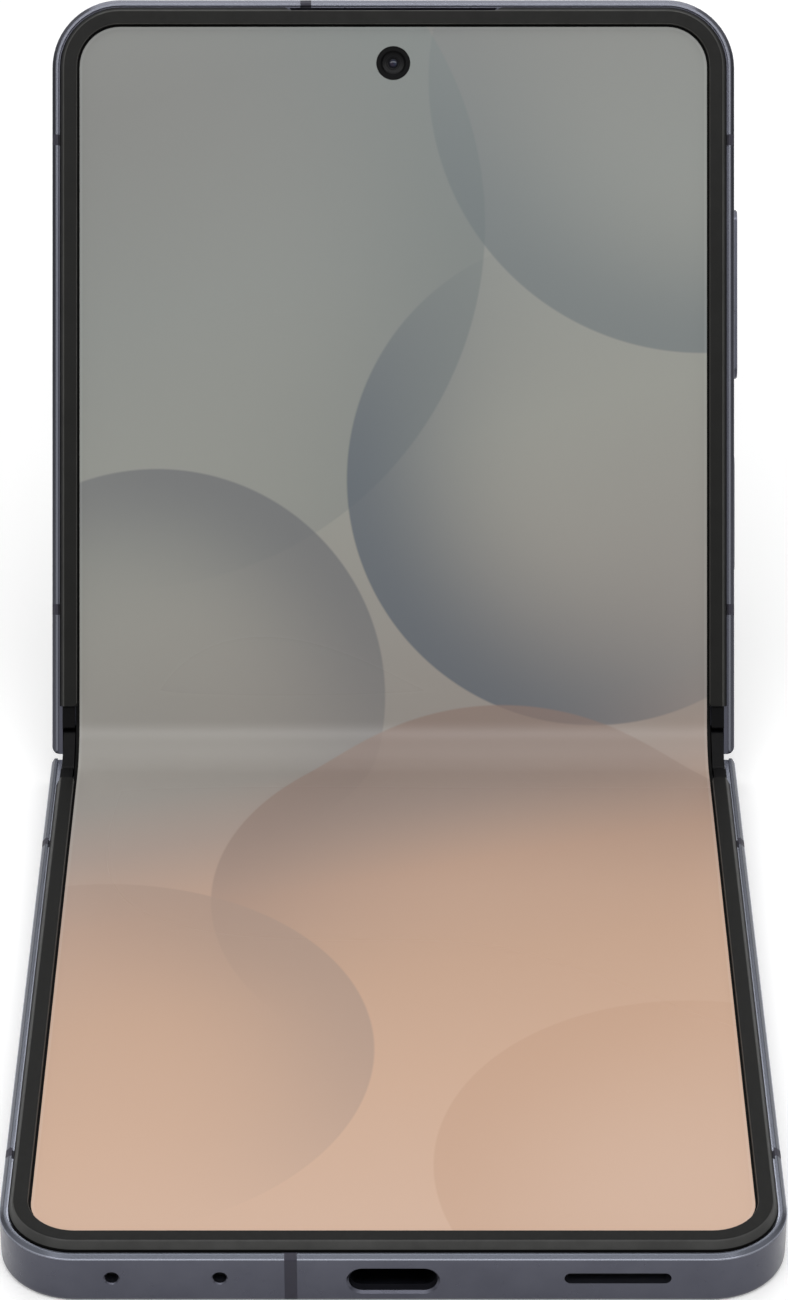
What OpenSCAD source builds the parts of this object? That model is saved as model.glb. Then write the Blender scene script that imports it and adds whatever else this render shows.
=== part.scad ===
// Foldable smartphone, standing part-open with its lower half flat on the table.
// Half coordinates: x across, y away from the fold line, z up from the outer back face (0) to the
// screen side.

/* [Body] */
// Width of the phone across the fold
body_w = 75.2; // [68:0.1:84]
// Length of one half from the fold line to its far end
half_len = 83.35; // [76:0.05:92]
// Radius of the outer corners seen from the front
corner_r = 7.5; // [6:0.1:9]
// Height of the metal frame edge
frame_h = 5.55; // [5.5:0.01:5.7]
// Height of the raised screen surround
rim_h = 6.5; // [6.3:0.01:6.8]
// Angle between flat open and the pose shown, in degrees
fold_angle = 57; // [30:1:90]

/* [Frame] */
// Thickness of the frame wall
wall_t = 1.15; // [1.1:0.05:1.3]
// Rounding of the frame's back edge
back_r = 0.6; // [0.5:0.05:1.0]
// Bevel of the frame's front edge
front_bevel = 0.42; // [0.3:0.02:0.5]
// Rounding of the frame ends beside the fold line
end_r = 0.9; // [0.5:0.1:1.2]
// Rounding of the same ends seen from the side
end_side_r = 0.45; // [0.3:0.05:0.9]
// Half of the gap between the two halves when flat
half_gap = 0.2; // [0.15:0.01:0.3]
// Thickness of the back glass
glass_t = 0.55; // [0.4:0.05:0.6]
// Width of each antenna band
band_w = 1.2; // [0.8:0.1:1.6]
// Depth of the antenna bands into the wall
band_d = 0.85; // [0.6:0.05:0.85]
// Distance of the near side bands from the fold line
band_near = 16.15; // [12:0.05:19]
// Distance of the far side bands from the fold line
band_far = 67.9; // [64:0.1:70]
// Distance of the end wall's band from the middle
band_x = 9.65; // [8:0.05:11]

/* [Screen] */
// Height of the screen surface above the back
screen_z = 5.85; // [5.8:0.01:5.9]
// Thickness of the flexible display with its backing
screen_t = 0.7; // [0.5:0.05:0.75]
// Distance of the display's edge from the outer side
screen_in = 2.7; // [2.6:0.02:2.74]
// Visible frame edge outside the surround
bezel_in = 0.66; // [0.6:0.02:0.7]
// Width of the groove between frame edge and surround
groove_w = 0.2; // [0.1:0.02:0.2]
// Width of the screen surround seen from the front
bezel_w = 1.96; // [1.9:0.02:2.0]
// Width of the surround's outer slope
bezel_slope = 0.43; // [0.3:0.01:0.6]
// Distance of each rigid screen stretch from the fold line
flex_u = 3.9; // [3.7:0.1:4.4]
// Distance of the surround's end from the fold line
bezel_end = 5.5; // [5.2:0.1:6]
// Diameter of the camera hole in the display
punch_d = 3.75; // [3:0.05:4.5]
// Distance of the camera hole from the far end
punch_in = 7.05; // [6:0.05:9]

/* [Hinge] */
// Distance of each fold axis from the middle of the spine
axis_a = 1.8; // [1.7:0.01:1.9]
// Height of the fold axes above the back
axis_h = 5.05; // [5.0:0.01:5.1]
// Outer radius of the spine cover round each axis
spine_r = 3.95; // [3.85:0.01:3.98]
// Wall of the spine cover
spine_t = 0.35; // [0.3:0.01:0.38]
// Clearance between spine cover and frames
spine_gap = 0.2; // [0.15:0.01:0.25]
// Clearance at each end of the spine
spine_end_gap = 0.15; // [0.1:0.05:0.3]
// Thickness of the arc rails
rail_t = 0.7; // [0.65:0.01:0.75]
// Metal and clearance between the rails and the spine cover
rail_floor = 0.45; // [0.42:0.01:0.5]
// Running clearance of rails in grooves
run_gap = 0.05; // [0.03:0.01:0.08]
// Width of each arc rail
rail_w = 3.0; // [2:0.1:3.2]
// Thickness of the bracket webs
web_t = 0.8; // [0.6:0.05:0.9]
// Width of each gear sector
sector_w = 1.4; // [1:0.1:1.5]
// Width of the row of meshing gears
mesh_w = 1.2; // [1:0.1:1.4]
// Outer end of each hinge module from the middle
module_x = 33.2; // [31:0.1:33.4]
// Size of a gear tooth, pitch diameter over tooth count
tooth_m = 0.13; // [0.12:0.005:0.13]
// Teeth on each small gear
gear_teeth = 10; // [10:1:10]
// Radius of the gear pins
pin_r = 0.26; // [0.2:0.01:0.28]

/* [Keys and ports] */
// Length of the volume rocker
volume_len = 18.7; // [15:0.1:22]
// Distance of the volume rocker's middle from the fold line
volume_u = 51.05; // [46:0.05:54]
// Length of the side key
side_key_len = 13.1; // [10:0.1:15]
// Distance of the side key's middle from the fold line
side_key_u = 26.8; // [25:0.1:30]
// Height of both keys
key_h = 2.3; // [1.8:0.1:2.6]
// How far the volume rocker stands out
volume_out = 0.42; // [0.2:0.01:0.5]
// How far the side key stands out
side_key_out = 0.12; // [0.05:0.01:0.3]
// Clearance round keys and tray
key_gap = 0.06; // [0.04:0.01:0.1]
// Width of the charging port's mouth
port_w = 8.4; // [8.3:0.05:9]
// Height of the charging port's mouth
port_h = 2.65; // [2.5:0.05:2.8]
// Width of the slope round the port's mouth
port_rim = 0.24; // [0.1:0.02:0.3]
// Height of the openings in the end wall above the back
port_z = 2.6; // [2.5:0.05:2.8]
// Length of the loudspeaker slot
speaker_len = 10.1; // [8:0.1:12]
// Middle of the loudspeaker slot
speaker_x = 21.2; // [20:0.1:24]
// Height of the loudspeaker slot
speaker_h = 1.25; // [0.8:0.05:1.6]
// Diameter of the microphone holes
mic_d = 1.3; // [0.8:0.1:1.5]
// Bevel round the mouth of each microphone hole
mic_rim = 0.12; // [0.05:0.01:0.16]
// Length of the tray's front edge
tray_len = 13.4; // [12:0.1:16]
// Distance of the tray's middle from the fold line
tray_u = 42; // [30:0.5:55]
// Depth of the tray into the phone
tray_depth = 16.5; // [14:0.1:18]

/* [Outer side] */
// Width of the small outer display
cover_w = 66; // [60:0.5:68]
// Diameter of each rear camera ring
ring_d = 13.6; // [12:0.1:15]
// How far the camera rings stand out
ring_out = 1.1; // [0.6:0.1:1.4]
// Distance between the two rear cameras
ring_pitch = 16.2; // [15.5:0.1:18]

/* [Inside] */
// Height of the space for boards and batteries above the glass
cavity_z0 = 1.0; // [0.9:0.05:1.2]
// Underside of the middle plate
plate_z0 = 4.35; // [4.3:0.05:4.4]
// Thickness of the circuit boards
board_t = 0.8; // [0.6:0.1:1]

/* [Hidden] */
$fn = 48;

half_w = body_w / 2;
hinge_angle = fold_angle / 2;
fold_y = (half_len + half_gap) / 2;       // puts the origin in the middle of the lower half
end_wall_u = axis_a + spine_r + spine_gap + 0.9;   // far side of the wall round the spine hollow
hollow_r = spine_r + spine_gap;
skin_z = axis_h - hollow_r;               // top of the skin under the spine
spine_len = body_w - 2 * (wall_t + spine_end_gap);
screen_z0 = screen_z - screen_t;
rotator_z1 = screen_z0 - 0.25;
rotator_z0 = rotator_z1 - 0.6;
rotator_u1 = end_wall_u + 4.6;
wing_u0 = axis_a + 0.7;
wing_w = 2 * (module_x + 1.1);
glass_in = 1.1;                            // frame edge left round the back glass
glass_u0 = 1.2;
key_z = 3.1;                               // middle of the keys and the tray above the back
earpiece_w = 22.4;
cap_x0 = half_w - screen_in + 0.1;
cap_half = 2.8;
cap_z = 6.15;
rail_r2 = spine_r - spine_t - rail_floor;
rail_r1 = rail_r2 - rail_t;
module_len = 2 * rail_w + 4 * web_t + 2 * sector_w + mesh_w + 6 * run_gap;
module_x0 = module_x - module_len;

// Gear geometry: a straight row of four equal gears, driven by a sector on each half
gear_r = tooth_m * gear_teeth / 2;
gear_z = axis_h - spine_r + spine_t + gear_r + tooth_m + 0.1;
gear_y = [-3 * gear_r, -gear_r, gear_r, 3 * gear_r];
sector_dy = gear_y[0] + axis_a;
sector_dz = gear_z - axis_h;
sector_r = sqrt(sector_dy * sector_dy + sector_dz * sector_dz) - gear_r;
sector_teeth = 2 * sector_r / tooth_m;
mesh_a = atan2(sector_dz, sector_dy) + 360;   // direction from the lower axis to the first gear
gear_ratio = sector_r / gear_r;
// Tooth phase that a gear needs to mesh with its driver, which lies at direction `dir` behind it
function meshed(p, n1, n2, dir) = dir + 180 - ((p - dir) % (360 / n1)) * n1 / n2 + 180 / n2;
phase_1 = meshed(mesh_a, sector_teeth, gear_teeth, mesh_a);
phase_2 = meshed(phase_1, gear_teeth, gear_teeth, 0);
phase_3 = meshed(phase_2, gear_teeth, gear_teeth, 0);
phase_4 = meshed(phase_3, gear_teeth, gear_teeth, 0);
phase_end = meshed(phase_4, gear_teeth, sector_teeth, 360 - mesh_a);
gear_phase = [phase_1, phase_2, phase_3, phase_4];

// ---- placing ----

module place_lower() {
    translate([0, fold_y, 0]) mirror([0, 1, 0]) children();
}

module place_spine() {
    translate([0, fold_y - axis_a, axis_h]) rotate([hinge_angle, 0, 0])
        translate([0, axis_a, -axis_h]) children();
}

module place_upper() {
    place_spine() translate([0, axis_a, axis_h]) rotate([hinge_angle, 0, 0])
        translate([0, -axis_a, -axis_h]) children();
}

module both_sides() {
    children();
    mirror([1, 0, 0]) children();
}

// Extrudes a (y, z) outline along x from x0 to x1
module along_x(x0, x1) {
    translate([x0, 0, 0]) rotate([90, 0, 90]) linear_extrude(x1 - x0) children();
}

// Sweeps an outline of (depth from outer face, z) points round the U of one half, from y = u0
module rim_sweep(points, u0) {
    both_sides() {
        translate([0, half_len - corner_r, 0]) rotate([90, 0, 0]) linear_extrude(half_len - corner_r - u0)
            polygon([for (p = points) [half_w - p[0], p[1]]]);
        translate([half_w - corner_r, half_len - corner_r, 0]) rotate_extrude(angle = 90)
            polygon([for (p = points) [corner_r - p[0], p[1]]]);
    }
    along_x(corner_r - half_w, half_w - corner_r)
        polygon([for (p = points) [half_len - p[0], p[1]]]);
}

// Plate with the half's outline drawn in by `inset`, from y = u0, between heights z0 and z1
module half_plate(inset, u0, z0, z1, far_r = corner_r) {
    r = max(far_r - inset, 0.5);
    hw = half_w - inset;
    u1 = half_len - inset;
    translate([0, 0, z0]) linear_extrude(z1 - z0) {
        translate([-hw, u0]) square([2 * hw, u1 - r - u0]);
        translate([-hw + r, u0]) square([2 * (hw - r), u1 - u0]);
        for (s = [-1, 1]) translate([s * (hw - r), u1 - r]) circle(r);
    }
}

// Slot with round ends along x, bored along y from y0 to y1
module end_slot(x, z, len, h, y0, y1) {
    translate([x, y0, z]) rotate([-90, 0, 0]) linear_extrude(y1 - y0) {
        square([len - h, h], center = true);
        for (s = [-1, 1]) translate([s * (len - h) / 2, 0]) circle(h / 2);
    }
}

// Slot with round ends along y, bored along x from x0 to x1
module side_slot(u, z, len, h, x0, x1) {
    along_x(x0, x1) translate([u, z]) {
        square([len - h, h], center = true);
        for (s = [-1, 1]) translate([s * (len - h) / 2, 0]) circle(h / 2);
    }
}

module rounded_block(x0, x1, y0, y1, z0, z1, r) {
    translate([0, 0, z0]) linear_extrude(z1 - z0) {
        translate([x0 + r, y0]) square([x1 - x0 - 2 * r, y1 - y0]);
        translate([x0, y0 + r]) square([x1 - x0, y1 - y0 - 2 * r]);
        for (x = [x0 + r, x1 - r], y = [y0 + r, y1 - r]) translate([x, y]) circle(r);
    }
}

module block(x0, x1, y0, y1, z0, z1) {
    translate([x0, y0, z0]) cube([x1 - x0, y1 - y0, z1 - z0]);
}

// ---- frames ----

// Wall outline: rounded back edge, flat side, bevelled front edge, seat for the surround, ledge for the glass
arc_steps = 6;
bevel_soft = 0.05;          // rounding of the bevel's two edges
wall_outline = concat(
    [[glass_in, glass_t], [glass_in, 0]],
    [for (i = [0 : arc_steps]) let (t = i * 90 / arc_steps)
        [back_r - back_r * sin(t), back_r - back_r * cos(t)]],
    [[0, frame_h - front_bevel - bevel_soft * 1.4], [bevel_soft * 0.4, frame_h - front_bevel],
     [bevel_soft, frame_h - front_bevel + bevel_soft], [front_bevel - bevel_soft, frame_h - bevel_soft],
     [front_bevel, frame_h - bevel_soft * 0.4], [front_bevel + bevel_soft * 1.4, frame_h],
     [bezel_in, frame_h], [bezel_in, screen_z0], [wall_t + 0.8, screen_z0], [wall_t + 0.8, plate_z0 - 0.5],
     [wall_t, plate_z0 - 1.2], [wall_t, glass_t + 1.2], [wall_t + 1, glass_t + 0.4],
     [wall_t + 1, glass_t]]);

module fold_hollow() {
    // the spine turns in this hollow
    along_x(-half_w + wall_t, half_w - wall_t) {
        translate([axis_a, axis_h]) circle(hollow_r);
        translate([-1, skin_z]) square([axis_a + 1, 8]);
    }
}

// Everything that both frames share
module frame_base() {
    difference() {
        union() {
            rim_sweep(wall_outline, half_gap);
            half_plate(wall_t, end_wall_u - 0.3, plate_z0, screen_z0);
            // skin and wall round the spine hollow, in one outline
            along_x(-half_w + wall_t, half_w - wall_t) polygon([[half_gap, 0], [glass_u0, 0],
                [glass_u0, glass_t], [end_wall_u, glass_t], [end_wall_u, screen_z0],
                [axis_a + 1.6, screen_z0], [axis_a + 1.6, 1], [half_gap, skin_z]]);
            // pads that the rotators are screwed to
            both_sides() block(module_x0, module_x, end_wall_u - 0.3, rotator_u1 + 0.6,
                rotator_z0 - 1.2, plate_z0 + 0.1);
        }
        difference() {
            fold_hollow();
            // shelves beside the hinge caps
            both_sides() block(cap_x0, half_w, axis_a + 1.6, end_wall_u, 4.55, screen_z0);
        }
        // seat of the wing plate and the rotators
        block(-wing_w / 2 - 0.1, wing_w / 2 + 0.1, 0, rotator_u1, rotator_z1, screen_z0 + 1);
        both_sides() block(module_x0 - 0.1, module_x + 0.1, 0, rotator_u1, rotator_z0, screen_z0 + 1);
        // free the inner side of the wall beside the fold, past the shelf
        both_sides() block(half_w - wall_t - 1.1, half_w - wall_t, -1, axis_a + 1.6, skin_z, 8);
        // rounded ends beside the fold line, seen from the front and from the side
        both_sides() translate([half_w - end_r, half_gap + end_r, -1]) difference() {
            translate([0, -end_r - 1, 0]) cube([end_r + 1, end_r + 1, 9]);
            translate([0, 0, -1]) cylinder(r = end_r, h = 11);
        }
        translate([0, half_gap + end_side_r, frame_h - end_side_r]) difference() {
            along_x(-half_w - 1, half_w + 1) translate([-end_side_r - 1, 0])
                square([end_side_r + 1, end_side_r + 1]);
            along_x(-half_w - 2, half_w + 2) circle(end_side_r);
        }
        // screw holes for the rotators
        both_sides() for (x = rotator_screw_x) translate([x, rotator_u1 - 1.8, 0]) {
            translate([0, 0, rotator_z0 - 2]) cylinder(d = 1.2, h = 3);
        }
        band_cuts();
    }
}

rotator_screw_x = [module_x0 + 2, module_x0 + module_len / 2, module_x - 2];

module band_cuts() {
    both_sides() for (u = [band_near, band_far])
        block(half_w - band_d, half_w + 1, u - band_w / 2, u + band_w / 2, -1, 8);
    block(-band_x - band_w / 2, -band_x + band_w / 2, half_len - band_d, half_len + 1, -1, 8);
}

module antenna_bands() {
    intersection() {
        rim_sweep(wall_outline, half_gap);
        band_cuts();
    }
}

module lower_frame() {
    color("#4c4b56") place_lower() difference() {
        frame_base();
        // charging port, loudspeaker slot and microphone holes
        end_slot(0, port_z, port_w, port_h, half_len - 4, half_len + 1);
        slot_mouth(0, port_z, port_w, port_h, port_rim);
        end_slot(speaker_x, hole_z, speaker_len, speaker_h, half_len - 4, half_len + 1);
        for (x = mic_x) translate([x, half_len - 4, hole_z]) rotate([-90, 0, 0]) {
            cylinder(d = mic_d, h = 6);
            translate([0, 0, 4 - mic_rim]) cylinder(d1 = mic_d, d2 = mic_d + 2 * mic_rim, h = mic_rim);
        }
        // pockets behind them for the parts they serve
        inner_pocket(0, port_z, port_w / 2 + port_wall + pocket_gap, port_depth + 0.5,
            port_h / 2 + port_wall + pocket_gap);
        inner_pocket(speaker_x, hole_z, speaker_len / 2, 2, duct_h / 2 + pocket_gap);
        for (x = mic_x) inner_pocket(x, hole_z, 1.4 + pocket_gap, 2.4, 1.1 + pocket_gap);
    }
}

mic_x = [-26.55, -16.35];
hole_z = 2.93;              // height of the sound holes
port_wall = 0.22;           // sheet of the port's shell
port_depth = 7.3;
duct_h = 1.8;               // loudspeaker duct
pocket_gap = 0.06;

// Pocket in the inner side of the end wall, `half` wide to each side of x and `half_z` to each side of z
module inner_pocket(x, z, half, depth, half_z) {
    block(x - half, x + half, half_len - wall_t - depth, half_len - wall_t + 0.02, z - half_z, z + half_z);
}

// Slope round the mouth of a slot in the far end
module slot_mouth(x, z, len, h, rim) {
    reach = (len - h) / 2;
    for (s = [-1, 1]) translate([x + s * reach, half_len - rim, z]) rotate([-90, 0, 0])
        cylinder(r1 = h / 2, r2 = h / 2 + rim, h = rim);
    along_x(x - reach, x + reach) polygon([[half_len - rim, z - h / 2], [half_len, z - h / 2 - rim],
        [half_len, z + h / 2 + rim], [half_len - rim, z + h / 2]]);
}

module upper_frame() {
    color("#4c4b56") place_upper() difference() {
        frame_base();
        key_pockets();
        tray_pocket();
        // front camera barrel
        translate([0, half_len - punch_in, plate_z0 - 1]) cylinder(d = punch_d + 2.6, h = 3);
        earpiece_cut();
    }
}

module key_pockets() {
    side_slot(volume_u, key_z, volume_len + 2 * key_gap, key_h + 2 * key_gap,
        half_w - wall_t - 1, half_w + 1);
    side_slot(side_key_u, key_z, side_key_len + 2 * key_gap, key_h + 2 * key_gap,
        half_w - wall_t - 1, half_w + 1);
    // flange pockets behind the wall
    block(half_w - wall_t - 1.2, half_w - wall_t + 0.6, volume_u - volume_len / 2 - 0.8,
        volume_u + volume_len / 2 + 0.8, key_z - key_h / 2 - 0.1, key_z + key_h / 2 + 0.1);
    block(half_w - wall_t - 1.2, half_w - wall_t + 0.6, side_key_u - side_key_len / 2 - 0.8,
        side_key_u + side_key_len / 2 + 0.8, key_z - key_h / 2 - 0.1, key_z + key_h / 2 + 0.1);
}

module tray_pocket() {
    side_slot(tray_u, key_z, tray_len + 2 * key_gap, key_h + 2 * key_gap,
        -half_w - 1, -half_w + wall_t + 1.5);
}

module lower_antenna_bands() {
    color("#3a3943") place_lower() antenna_bands();
}

module upper_antenna_bands() {
    color("#3a3943") place_upper() antenna_bands();
}

// ---- glass, screen and surround ----

module lower_back_glass() {
    color("#3f4250") place_lower() half_plate(glass_in + 0.04, glass_u0 + 0.04, 0, glass_t);
}

module cover_glass() {
    color("#20222a") place_upper() difference() {
        half_plate(glass_in + 0.04, glass_u0 + 0.04, 0, glass_t);
        for (x = ring_x) translate([x, ring_u, -1]) cylinder(d = ring_d - 1.2, h = 4);
        translate([flash_at[0], flash_at[1], -1]) cylinder(d = flash_window + 2 * window_gap, h = 4);
    }
}

bezel_x0 = bezel_in + groove_w;
bezel_x1 = bezel_x0 + bezel_w;
bezel_outline = [[bezel_x0, screen_z0], [bezel_x0, frame_h - 0.05], [bezel_x0 + bezel_slope, rim_h - 0.1],
    [bezel_x0 + bezel_slope + 0.08, rim_h - 0.03], [bezel_x0 + bezel_slope + 0.2, rim_h],
    [bezel_x1 - 0.12, rim_h], [bezel_x1 - 0.04, rim_h - 0.04], [bezel_x1, rim_h - 0.13],
    [bezel_x1, screen_z + 0.04], [screen_in - 0.08, screen_z + 0.04], [screen_in - 0.08, screen_z0]];
bezel_end_r = 0.5;

module bezel_base() {
    difference() {
        rim_sweep(bezel_outline, bezel_end);
        // rounded ends
        for (x = [bezel_x0, bezel_x1], s = [-1, 1]) {
            turn = (x == bezel_x0) ? -1 : 1;
            translate([s * (half_w - x + turn * bezel_end_r), bezel_end + bezel_end_r, screen_z + 0.13])
                difference() {
                    translate([s * turn < 0 ? 0 : -1, -1 - bezel_end_r, 0])
                        cube([1, 1 + bezel_end_r, 2]);
                    translate([0, 0, -1]) cylinder(r = bezel_end_r, h = 4);
                }
        }
    }
}

// Low trims beside the hinge caps, between cap and surround
trim_u0 = 3.0;
trim_z = 5.97;

module fold_trims() {
    both_sides() difference() {
        block(cap_x0 + 0.05, half_w - wall_t - 0.04, trim_u0, bezel_end - 0.03, screen_z0, trim_z);
        translate([0, trim_u0 + 0.2, trim_z - 0.2]) difference() {
            along_x(cap_x0 - 1, half_w) translate([-1.2, 0]) square([1.2, 1.2]);
            along_x(cap_x0 - 2, half_w + 1) circle(0.2);
        }
    }
}

module lower_fold_trims() { color("#161617") place_lower() fold_trims(); }
module upper_fold_trims() { color("#161617") place_upper() fold_trims(); }

module lower_bezel() {
    color("#2a2a2a") place_lower() bezel_base();
}

module upper_bezel() {
    color("#2a2a2a") place_upper() difference() {
        bezel_base();
        earpiece_cut();
    }
}

// Sound slot in the surround's far slope, with slanted ends
module earpiece_cut() {
    translate([0, half_len - bezel_x0 - bezel_slope - 0.03, screen_z0 - 0.2]) linear_extrude(3)
        polygon([[-earpiece_w / 2, 0], [earpiece_w / 2, 0],
            [earpiece_w / 2 + 0.8, bezel_slope + 0.05], [-earpiece_w / 2 - 0.8, bezel_slope + 0.05]]);
}

module lower_screen() {
    color("#c2a491") place_lower() half_plate(screen_in, flex_u, screen_z0, screen_z);
}

module upper_screen() {
    color("#8d8d87") place_upper() difference() {
        half_plate(screen_in, flex_u, screen_z0, screen_z);
        translate([0, half_len - punch_in, 0]) cylinder(d = punch_d, h = 9);
    }
}

// The bend of the display: an arc tangent to both rigid stretches
bend_dy = flex_u - axis_a;
bend_dz = screen_z - axis_h;
bend_y = axis_a + bend_dy * cos(hinge_angle) - bend_dz * sin(hinge_angle);
bend_z = axis_h + bend_dy * sin(hinge_angle) + bend_dz * cos(hinge_angle);
bend_r = bend_y / sin(hinge_angle);

module wedge(r, a0, a1) {
    steps = 6;
    polygon(concat([[0, 0]], [for (i = [0 : steps]) let (t = a0 + (a1 - a0) * i / steps)
        [r * cos(t), r * sin(t)]]));
}

module ring_sector(r0, r1, a0, a1) {
    intersection() {
        difference() {
            circle(r1);
            circle(r0);
        }
        wedge(2 * r1, a0, a1);
    }
}

module screen_fold() {
    color("#a39b93") place_spine() along_x(screen_in - half_w, half_w - screen_in)
        translate([0, bend_z + bend_r * cos(hinge_angle)])
            ring_sector(bend_r, bend_r + screen_t, 270 - hinge_angle, 270 + hinge_angle);
}

// ---- hinge ----

spine_top = rotator_z0 - 0.15;
bracket_r = spine_r - spine_t - 0.03;
centre_top = 2.95;          // room for the shut display's bend above
centre_half = 2.2;

module trough(r) {
    for (s = [-1, 1]) translate([s * axis_a, axis_h]) circle(r);
    translate([-axis_a, axis_h - r]) square([2 * axis_a, r]);
}

module below(z) {
    translate([-20, -5]) square([40, z + 5]);
}

module spine_cover() {
    color("#56565f") place_spine() {
        along_x(-spine_len / 2, spine_len / 2) intersection() {
            difference() {
                trough(spine_r);
                trough(spine_r - spine_t);
            }
            below(spine_top);
        }
        both_sides() along_x(spine_len / 2 - 0.4, spine_len / 2) intersection() {
            trough(spine_r - spine_t / 2);
            below(spine_top);
        }
    }
}

// Slabs of one hinge module from its inner end: web, lower rail, web, lower sector, mesh row, upper sector,
// web, upper rail, web
slab_w = [web_t, rail_w + 2 * run_gap, web_t, sector_w + run_gap, mesh_w, sector_w + run_gap, web_t,
    rail_w + 2 * run_gap, web_t];
function slab_x(i) = i == 0 ? module_x0 : slab_x(i - 1) + slab_w[i - 1];

module web_outline() {
    intersection() {
        trough(bracket_r);
        union() {
            below(centre_top);
            for (s = [-1, 1]) translate([s > 0 ? centre_half : -10, 0])
                square([10 - centre_half, spine_top - 0.05]);
        }
    }
}

module groove(s) {
    translate([s * axis_a, axis_h]) difference() {
        circle(rail_r2 + run_gap);
        circle(rail_r1 - run_gap);
    }
}

module hinge_brackets() {
    color("#8a8a90") place_spine() both_sides() difference() {
        union() {
            for (i = [0, 2, 6, 8]) along_x(slab_x(i), slab_x(i + 1)) web_outline();
            for (i = [1, 7]) along_x(slab_x(i), slab_x(i + 1)) difference() {
                web_outline();
                groove(i == 1 ? -1 : 1);
            }
            // gear chamber: only its two sides stay
            along_x(slab_x(3), slab_x(6)) difference() {
                web_outline();
                translate([-gear_y[3] - gear_r - 0.35, 0]) square([2 * (gear_y[3] + gear_r + 0.35), 9]);
                for (s = [-1, 1]) translate([s * axis_a, axis_h]) circle(sector_r + tooth_m + 0.12);
            }
            // tab that is screwed to the spine cover
            along_x(module_x0 - 3.2, module_x0) translate([-2, axis_h - bracket_r]) square([4, 0.9]);
        }
        for (y = gear_y) translate([0, y, gear_z]) along_x(slab_x(2) - 1, slab_x(7) + 1) circle(pin_r + 0.01);
        translate([module_x0 - 1.7, 0, 0]) cylinder(d = 1.02, h = 5);
    }
}

module spine_screws() {
    color("#9a9aa0") place_spine() both_sides() translate([module_x0 - 1.7, 0, axis_h - bracket_r]) {
        cylinder(d = 1, h = 0.92);
        translate([0, 0, 0.91]) cylinder(d = 1.8, h = 0.4);
    }
}

module hinge_caps() {
    color("#161617") place_spine() both_sides() {
        along_x(cap_x0, spine_len / 2 - 0.42) intersection() {
            cap_outline(axis_h - spine_r);
            trough(bracket_r);
        }
        along_x(cap_x0, spine_len / 2) cap_outline(spine_top);
    }
}

cap_r = 0.9;
module cap_outline(z0) {
    translate([-cap_half, z0]) square([2 * cap_half, cap_z - cap_r - z0]);
    translate([-cap_half + cap_r, z0]) square([2 * (cap_half - cap_r), cap_z - z0]);
    for (s = [-1, 1]) translate([s * (cap_half - cap_r), cap_z - cap_r]) circle(cap_r);
}

module gear_pins() {
    color("#b8b8bc") place_spine() both_sides() for (y = gear_y)
        translate([0, y, gear_z]) along_x(slab_x(2) + 0.05, slab_x(7) - 0.05) circle(pin_r);
}

tooth_tip = 0.78 * tooth_m;      // height of a tooth outside its pitch circle
tooth_root = 1.05 * tooth_m;     // depth below it

module tooth(r, angle) {
    rotate(angle) polygon([[r - tooth_root - 0.04, -1.0 * tooth_m], [r, -0.62 * tooth_m],
        [r + tooth_tip, -0.3 * tooth_m], [r + tooth_tip, 0.3 * tooth_m], [r, 0.62 * tooth_m],
        [r - tooth_root - 0.04, 1.0 * tooth_m]]);
}

module gear_outline(phase) {
    difference() {
        union() {
            circle(gear_r - tooth_root);
            for (i = [0 : gear_teeth - 1]) tooth(gear_r, phase + i * 360 / gear_teeth);
        }
        circle(pin_r + 0.03);
    }
}

// Gear number i (0 to 3) with the slabs that it reaches from and to
module gear_pair(i, from, to) {
    place_spine() both_sides() translate([0, gear_y[i], gear_z])
        along_x(slab_x(from) + run_gap, slab_x(to) - run_gap)
            gear_outline(gear_phase[i] + (i % 2 == 0 ? 1 : -1) * gear_ratio * hinge_angle);
}

module first_gears() { color("#c3a765") gear_pair(0, 3, 5); }
module second_gears() { color("#c3a765") gear_pair(1, 4, 5); }
module third_gears() { color("#c3a765") gear_pair(2, 4, 5); }
module fourth_gears() { color("#c3a765") gear_pair(3, 4, 6); }

// Rotator in half coordinates. `first` is the tooth angle at the mesh, `rail` and `sector` its slabs
module rotator(rail, sector, first, step) {
    plate_u0 = axis_a + sqrt(rail_r1 * rail_r1 - 0.36) + 0.05;
    difference() {
        union() {
            along_x(slab_x(0), slab_x(9)) translate([axis_a + rail_r2 + 0.2, rotator_z0])
                square([rotator_u1 - axis_a - rail_r2 - 0.3, rotator_z1 - rotator_z0]);
            along_x(slab_x(rail) + run_gap, slab_x(rail + 1) - run_gap) {
                translate([plate_u0, rotator_z0])
                    square([rail_r2 + 0.3 + axis_a - plate_u0, rotator_z1 - rotator_z0]);
                intersection() {
                    translate([axis_a, axis_h]) ring_sector(rail_r1, rail_r2, -145, 0);
                    below(rotator_z1);
                }
            }
            along_x(slab_x(sector) + run_gap, slab_x(sector + 1) - run_gap / 2) {
                translate([axis_a + sector_r - tooth_root - 0.35, rotator_z0])
                    square([rail_r2 + 0.3 - sector_r + tooth_root + 0.35, rotator_z1 - rotator_z0]);
                intersection() {
                    translate([axis_a, axis_h]) {
                        ring_sector(sector_r - tooth_root - 0.45, sector_r - tooth_root, -178, 0);
                        for (i = [-1 : 8]) tooth(sector_r, first + i * step);
                    }
                    below(rotator_z1);
                }
            }
        }
        for (x = rotator_screw_x) translate([x, rotator_u1 - 1.8, 0]) {
            cylinder(d = 1.2, h = 9);
            translate([0, 0, rotator_z0 + 0.25]) cylinder(d = 2.1, h = 3);
        }
    }
}

module lower_rotators() {
    color("#7c7c82") place_lower() both_sides()
        rotator(1, 3, 180 - mesh_a, -360 / sector_teeth);
}

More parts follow.
